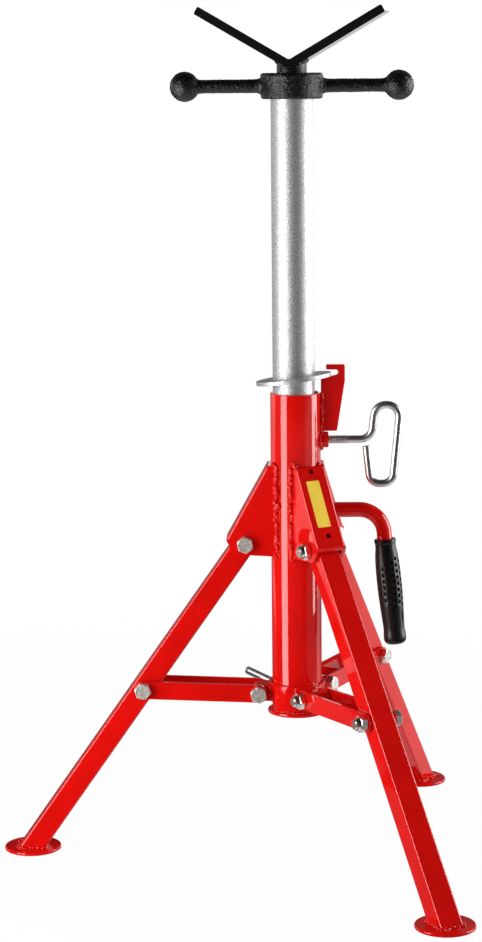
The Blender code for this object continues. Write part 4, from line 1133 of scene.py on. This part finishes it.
@dataclass
class CarryHandle:
    """The bent carrying handle and its moulded grip."""

    height: float = 0.4202
    radius: float = 0.0091
    bend_out: float = 0.0723
    bend_radius: float = 0.030
    lean: float = math.radians(5.8)
    grip_start: float = 0.0360
    grip_length: float = 0.1285
    grip_radius: float = 0.0149
    bead: float = 0.0022
    dimple_turn: float = 23.3    # degrees from column to column of dimples
    dimple_step: float = 0.0594  # from row to row, as a share of the grip's length

    def build(self) -> None:
        """Bend the handle, weld it on and slide the grip over it."""
        down = Vector((math.sin(self.lean), -math.cos(self.lean)))
        corner = Vector((STANCE.post_radius + WELD_GAP + self.bend_out, self.height))
        end = corner + down * (self.grip_start + self.grip_length - 0.0045)
        handle = bent_wire("carry_handle_dressed", [(0.012, self.height), tuple(corner), tuple(end)],
                           [0, self.bend_radius, 0], self.radius, 40, 0.0, 4.0)
        combine(handle, Join.CUT, post_cutter(0.38, 0.46))
        finished(smoothed(placed(handle, STANCE.post), 40.0), RED, "post", "carry_handle")
        bead = weld_bead("handle_weld", saddle(self.radius + 0.0006, self.height), self.bead, 95)
        finished(placed(bead, STANCE.post), WELD_RED, "post")
        start = corner + down * self.grip_start
        place = (STANCE.post @ Matrix.Translation((start.x, 0, start.y))
                 @ Matrix.Rotation(-self.lean, 4, "Y"))
        grip = self.make_grip()
        finished(smoothed(placed(grip, place), 30.0), RUBBER, "post", "handle_grip")

    def make_grip(self) -> bpy.types.Object:
        """Turn the grip's outline and press its dimples.

        Returns:
            The grip, hanging down -Z from the origin.
        """
        shares = [(0.0, 0.80), (0.004, 0.86), (0.012, 0.88), (0.030, 0.88), (0.040, 0.83), (0.078, 0.83),
                  (0.16, 0.93), (0.23, 0.97), (0.30, 0.99), (0.38, 1.0), (0.46, 1.0), (0.55, 0.985),
                  (0.64, 0.95), (0.73, 0.91), (0.82, 0.87), (0.85, 0.86), (0.875, 0.86), (0.90, 0.89),
                  (0.93, 0.91), (0.955, 0.91), (0.975, 0.88), (0.99, 0.80), (1.0, 0.70)]
        wide, long = self.grip_radius, self.grip_length
        bore = self.radius + WELD_GAP
        stations = [(bore, -long + 0.004), (bore, 0)]
        stations += [(wide * share, -along * long) for along, share in shares]
        grip = turned("handle_grip_dressed", stations, 72)
        cutter = primitive("dimples", bpy.ops.mesh.primitive_uv_sphere_add, segments=12, ring_count=8,
                           radius=0.0022, location=(0, 0, 0.1))
        heights = [along for along, _ in shares]
        with editing(cutter):
            for azimuth, row, radius, tall in self.dimples():
                index = max(place for place, along in enumerate(heights) if along <= row)
                (near, first), (far, second) = shares[index], shares[index + 1]
                deep = wide * (first + (second - first) * (row - near) / (far - near)) - radius * 0.10
                bpy.ops.mesh.primitive_uv_sphere_add(
                    segments=14, ring_count=10, radius=radius, scale=(1, 1, tall),
                    location=(math.cos(azimuth) * deep, math.sin(azimuth) * deep, -row * long))
        combine(grip, Join.CUT, cutter)
        return bevelled(grip, 0.0003, 32.0)

    def dimples(self) -> list[tuple[float, float, float, float]]:
        """Return azimuth, share of the length, radius and height over width of each dimple and groove."""
        columns = [(0, 0.184, 8, 0.0023), (1, 0.2137, 8, 0.0023), (2, 0.184, 8, 0.0023),
                   (3, 0.2137, 8, 0.0021), (4, 0.2434, 7, 0.0012), (5, 0.2731, 6, 0.0019)]
        spots = []
        for way in (-1, 1):
            for column, first, count, radius in columns[1 if way > 0 else 0:]:
                azimuth = math.radians(way * column * self.dimple_turn)
                spots += [(azimuth, first + index * self.dimple_step, radius, 1.0) for index in range(count)]
            spots += [(math.radians(way * turn), 0.968, 0.0018, 0.8) for turn in (22.0, 44.0, 62.0, 80.0)]
            spots.append((math.radians(way * 33.0), 0.730, 0.0015, 6.6))
        return spots


@dataclass
class Mast:
    """The plated inner tube with the cast hand nut on its end and the lifting screw in it."""

    radius: float = 0.025
    wall: float = 0.0025
    bottom: float = 0.319
    hub_bottom: float = 0.9078
    hub_height: float = 0.0298
    hub_radius: float = 0.0371
    socket: float = 0.0077
    arm: float = 0.0078
    ball: float = 0.0175
    ball_centre: float = 0.1250
    screw: float = 0.0135
    screw_pitch: float = 0.006
    below_hub: float = 0.0945
    sand_size: float = 0.0026
    sand_depth: float = 0.0009

    def build(self) -> None:
        """Turn the tube, cast the nut and cut the screw's thread."""
        top = self.hub_bottom + self.socket - WELD_GAP
        bore, edge = self.radius - self.wall, 0.0005
        tube = turned("mast_tube", [
            (self.radius - edge, self.bottom), (self.radius, self.bottom + edge), (self.radius, top - edge),
            (self.radius - edge, top), (bore + edge, top), (bore, top - edge), (bore, self.bottom + edge),
            (bore + edge, self.bottom)], ROUND, True)
        finished(smoothed(placed(tube, STANCE.mast)), ZINC, "mast", "inner_tube")
        self.make_nut()
        self.make_screw()

    def make_nut(self) -> None:
        """Cast the hub, its arms and their balls in one."""
        low, high = self.hub_bottom, self.hub_bottom + self.hub_height
        wide, bore = self.hub_radius, self.screw + 0.0004
        seat = self.radius + 0.0006
        hub = turned("hand_nut_dressed", [
            (seat, low), (wide - 0.0034, low), (wide - 0.0016, low + 0.0008), (wide - 0.0008, low + 0.0026),
            (wide - 0.0010, low + 0.0060), (wide - 0.0007, high - 0.0070), (wide - 0.0002, high - 0.0040),
            (wide - 0.0009, high - 0.0014), (wide - 0.0030, high), (bore + 0.0010, high),
            (bore, high - 0.0010), (bore, low + self.socket), (seat, low + self.socket)], 96, True)
        middle = (low + high) / 2
        for way in (-1, 1):
            arm = turned("arm", [
                (self.arm + 0.0020, 0.022), (self.arm + 0.0021, 0.0362), (self.arm + 0.0012, 0.0378),
                (self.arm + 0.0005, 0.0400), (self.arm + 0.0002, 0.0440), (self.arm + 0.0001, 0.075),
                (self.arm, 0.102), (self.arm + 0.0002, 0.1075), (self.arm + 0.0012, 0.1100),
                (self.arm + 0.0026, 0.1120), (self.arm + 0.0026, 0.119)], 40)
            arm = placed(arm, Matrix.Rotation(QUARTER * way, 4, "Y"))
            ball = primitive("ball", bpy.ops.mesh.primitive_uv_sphere_add, segments=48, ring_count=24,
                             radius=self.ball, location=(way * self.ball_centre, 0, 0))
            merged(hub, placed(merged(arm, ball), Matrix.Translation((0, 0, middle))))
        apply_modifier(hub, "REMESH", mode="VOXEL", voxel_size=0.0008, use_smooth_shade=True)
        apply_modifier(hub, "SMOOTH", factor=0.5, iterations=2)
        sand = bpy.data.textures.new("cast_skin", "CLOUDS")
        sand.noise_scale = self.sand_size
        sand.noise_depth = 1
        apply_modifier(hub, "DISPLACE", texture=sand, texture_coords="LOCAL", strength=self.sand_depth,
                       mid_level=0.5)
        finished(placed(hub, STANCE.mast), CAST, "hand_nut", "hand_nut")

    def make_screw(self) -> None:
        """Cut a square-shouldered thread on the lifting screw, and turn its spigot."""
        low, high = self.hub_bottom - self.below_hub, self.hub_bottom + self.hub_height
        pitch = self.screw_pitch
        screw = threaded("head_screw_dressed", self.screw, self.screw - 0.0018, pitch, high - low + pitch, 48)
        screw = placed(screw, Matrix.Translation((0, 0, low - pitch)))
        spigot = turned("spigot", [(0.009, high - 0.001), (0.009, high + 0.0052), (0.0082, high + 0.006)], 48)
        screw = placed(smoothed(merged(screw, spigot), 30.0), STANCE.mast)
        finished(screw, ZINC, "head_screw", "head_screw")


@dataclass
class Head:
    """The swivelling V head: a bent plate welded on a round neck."""

    neck_radius: float = 0.0176
    crotch: float = 0.9530
    rise: float = math.radians(30.0)
    turn: float = math.radians(-9.5)
    thickness: float = 0.010
    bend: float = 0.018
    bead: float = 0.0019

    def underside(self, across: float) -> float:
        """Return the height of the bent plate's lower face, this far across from its fold."""
        lowest = self.crotch - self.thickness / math.cos(self.rise)
        if abs(across) < self.bend * math.sin(self.rise):
            return lowest + self.bend / math.cos(self.rise) - math.sqrt(self.bend ** 2 - across ** 2)
        return lowest + abs(across) * math.tan(self.rise)

    def build(self) -> None:
        """Dress the plate and its neck, and weld them together."""
        finished(refined("v_plate", "v_plate_dressed", 0.0006, 60.0), ENAMEL, "v_head", "v_plate")
        finished(refined("head_neck", "head_neck_dressed", 0.0006, 60.0), NECK_ENAMEL, "v_head",
                 "head_neck")
        place = STANCE.mast @ Matrix.Rotation(self.turn, 4, "Z")
        ring = [(out, side, self.underside(out) - 0.0004)
                for out, side in circle(self.neck_radius + 0.0006, 60)]
        bead = weld_bead("neck_weld", ring, self.bead, 99, 0.9)
        finished(placed(bead, place), NECK_ENAMEL, "v_head")


# The studio

@dataclass(frozen=True)
class Softbox:
    """A rectangular lamp that faces the post.

    Its azimuth is in degrees round the post, from the camera's side (0) to the right (90), its centre
    is the height of its middle, and its glow is the radiance of its face, where 1 is white.
    """

    name: str
    azimuth: float
    far: float
    wide: float
    tall: float
    centre: float
    glow: float = 7.2

    def build(self) -> None:
        """Stand the lamp in its place and aim it."""
        turn = math.radians(self.azimuth)
        spot = Vector((STANCE.post_x + math.sin(turn) * self.far, -math.cos(turn) * self.far, self.centre))
        bpy.ops.object.light_add(type="AREA", location=spot)
        lamp = bpy.context.object
        lamp.name = self.name
        lamp.data.shape = "RECTANGLE"
        lamp.data.size, lamp.data.size_y = self.wide, self.tall
        lamp.data.energy = math.pi * self.wide * self.tall * self.glow
        aim = Vector((STANCE.post_x, 0, self.centre)) - spot
        lamp.rotation_euler = aim.to_track_quat("-Z", "Y").to_euler()


@dataclass
class Studio:
    """A pale floor, two softboxes, a plain white background and the camera.

    The camera's height, focal length and shift are in pixels of the picture, its angles in radians.
    """

    height: int = 942
    focal: float = 2423.7
    eye: Point = (0.08302, -2.85967, 0.94460)
    yaw: float = -0.02345
    pitch: float = 0.15928
    roll: float = 0.00995
    shift: float = -14.35
    floor_radius: float = 6.0
    floor_rim: float = 4.0
    fade: tuple[float, float] = (0.55, 1.5)      # where the floor starts and ends its fade to white

    def build(self) -> None:
        """Set the camera, the lamps, the floor and the background."""
        scene = bpy.context.scene
        scene.view_settings.view_transform = "Standard"
        self.make_camera()
        Softbox("softbox_left", azimuth=-55.5, far=1.2, wide=0.63, tall=1.16, centre=0.48).build()
        Softbox("softbox_right", azimuth=96.0, far=2.6, wide=1.44, tall=2.0, centre=0.95).build()
        self.make_floor()
        self.make_world()

    def make_camera(self) -> None:
        """Aim the camera as the photograph was taken."""
        yaw, pitch, roll = self.yaw, self.pitch, self.roll
        ahead = Vector((math.sin(yaw) * math.cos(pitch), math.cos(yaw) * math.cos(pitch), -math.sin(pitch)))
        right = Vector((math.cos(yaw), -math.sin(yaw), 0))
        up = right.cross(ahead)
        level = math.cos(roll) * right - math.sin(roll) * up
        upright = math.sin(roll) * right + math.cos(roll) * up
        place = Matrix((level, upright, -ahead)).transposed().to_4x4()
        place.translation = self.eye
        bpy.ops.object.camera_add()
        camera = bpy.context.object
        camera.name = "photo_camera"
        camera.matrix_world = place
        camera.data.lens = self.focal * camera.data.sensor_width / self.height
        camera.data.shift_y = self.shift / self.height
        camera.data.clip_end = 50.0
        bpy.context.scene.camera = camera

    def make_floor(self) -> None:
        """Lay the pale floor, which keeps the object's shadow and fades into the background."""
        floor = primitive("studio_floor", bpy.ops.mesh.primitive_circle_add, vertices=96,
                          radius=self.floor_radius, fill_type="NGON", location=(0, 0, -0.0002))
        with editing(floor):
            bpy.ops.mesh.select_all(action="SELECT")
            bpy.ops.mesh.inset(thickness=self.floor_rim)
        material = bpy.data.materials.new("white_paper_floor")
        material.use_nodes = True
        tree = material.node_tree
        tree.nodes.clear()
        spot = add_node(tree, "TexCoord").outputs["Object"]
        fibre = add_node(tree, "TexNoise", inputs={
            "Vector": spot, "Scale": per_metre(3.0), "Detail": 2.0, "Roughness": 0.5}).outputs["Fac"]
        away = add_node(tree, "VectorMath", {"operation": "LENGTH"}, {0: spot}).outputs["Value"]
        white = add_node(tree, "MapRange", inputs=dict(zip(RAMP, (away, *self.fade, 0.965, 1.0)))).outputs[0]
        seen = add_node(tree, "LightPath").outputs["Is Camera Ray"]
        share = add_node(tree, "Math", {"operation": "MULTIPLY"}, {0: white, 1: seen}).outputs["Value"]
        tint = add_node(tree, "Mix", {"data_type": "RGBA"}, {
            "Factor": fibre, "A": linear("F4F4F4"), "B": linear("F1F1F1")}).outputs["Result"]
        paper = add_node(tree, "BsdfDiffuse", inputs={"Color": tint}).outputs["BSDF"]
        light = add_node(tree, "Emission", inputs={"Color": linear("FFFFFF"), "Strength": 1.0}).outputs[0]
        mixed = add_node(tree, "MixShader", inputs={0: share, 1: paper, 2: light}).outputs["Shader"]
        add_node(tree, "OutputMaterial", inputs={"Surface": mixed})
        floor.data.materials.append(material)
        floor.visible_glossy = False

    def make_world(self) -> None:
        """Surround the object with white behind it and a dim room in front, as metal shows them."""
        world = bpy.data.worlds.new("studio_room")
        bpy.context.scene.world = world
        world.use_nodes = True
        tree = world.node_tree
        tree.nodes.clear()
        paths = add_node(tree, "LightPath").outputs
        way = add_node(tree, "TexCoord").outputs["Generated"]
        across, ahead, up = add_node(tree, "SeparateXYZ", inputs={"Vector": way}).outputs
        ramps = {
            "wall": (ahead, 0.22, 0.45, 0.06, 1.0),             # the white behind the object
            "wall_end": (ahead, 0.5, 0.95, 0.0, 0.86),          # less of it at the far left
            "leftward": (across, -0.10, 0.12, 1.0, 0.0),
            "low_wall": (up, 0.185, 0.235, 1.0, 0.06),          # and hardly any of it higher up
            "horizon": (up, 0.03, 0.12, 1.0, 2.4),
            "floor_ahead": (ahead, 0.93, 0.98, 0.0, 1.0),       # floor: lit behind and to the right
            "floor_far": (up, -0.40, -0.22, 0.0, 1.0),
            "floor_right": (across, 0.55, 0.80, 0.0, 1.0),
            "floor_side": (ahead, 0.15, 0.50, 4.0, 0.75),
            "floor_edge": (up, -0.18, -0.145, 0.18, 1.0),
            "bounce": (up, -0.75, -0.42, 0.75, 0.0),            # the paper right under the object
            "fill": (up, -0.2, 0.8, 0.62, 0.17)}                # what matt surfaces get instead
        value = {name: add_node(tree, "MapRange", inputs=dict(zip(RAMP, ramp))).outputs[0]
                 for name, ramp in ramps.items()}
        value["camera"], value["glass"] = paths["Is Camera Ray"], paths["Is Transmission Ray"]
        for name, operation, first, second in (
                ("far_left", "MULTIPLY", "wall_end", "leftward"), ("wall", "SUBTRACT", "wall", "far_left"),
                ("lit_floor", "MULTIPLY", "floor_ahead", "floor_far"),
                ("right_floor", "MULTIPLY", "floor_right", "floor_side"),
                ("floor", "MAXIMUM", "lit_floor", "right_floor"), ("floor", "MAXIMUM", "floor", "floor_edge"),
                ("wall", "MULTIPLY", "wall", "low_wall"), ("wall", "MULTIPLY", "wall", "horizon"),
                ("wall", "MULTIPLY", "wall", "floor"), ("room", "MAXIMUM", "wall", "bounce"),
                ("direct", "MAXIMUM", "camera", "glass")):
            inputs = {0: value[first], 1: value[second]}
            value[name] = add_node(tree, "Math", {"operation": operation}, inputs).outputs[0]
        fill, mirror, white = (
            add_node(tree, "Background", inputs={"Color": linear("FFFFFF"), "Strength": strength}).outputs[0]
            for strength in (value["fill"], value["room"], 1.0))
        shiny = add_node(tree, "MixShader", inputs={0: paths["Is Glossy Ray"], 1: fill, 2: mirror}).outputs[0]
        whole = add_node(tree, "MixShader", inputs={0: value["direct"], 1: shiny, 2: white}).outputs[0]
        add_node(tree, "OutputWorld", inputs={"Surface": whole})


def main() -> None:
    """Build the studio, then the stand in it from the post outwards."""
    logging.basicConfig(level=logging.INFO, format="%(message)s")
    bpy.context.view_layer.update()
    Studio().build()
    Post().build()
    fasteners = Fasteners()
    fasteners.build()
    for side in Side:
        Bracket(side).build()
        Leg(side).build()
        Link(side).build(fasteners)
    fasteners.clear()
    Label().build()
    Collar().build()
    Clamp().build()
    CarryHandle().build()
    Mast().build()
    Head().build()


if __name__ == "__main__":
    main()
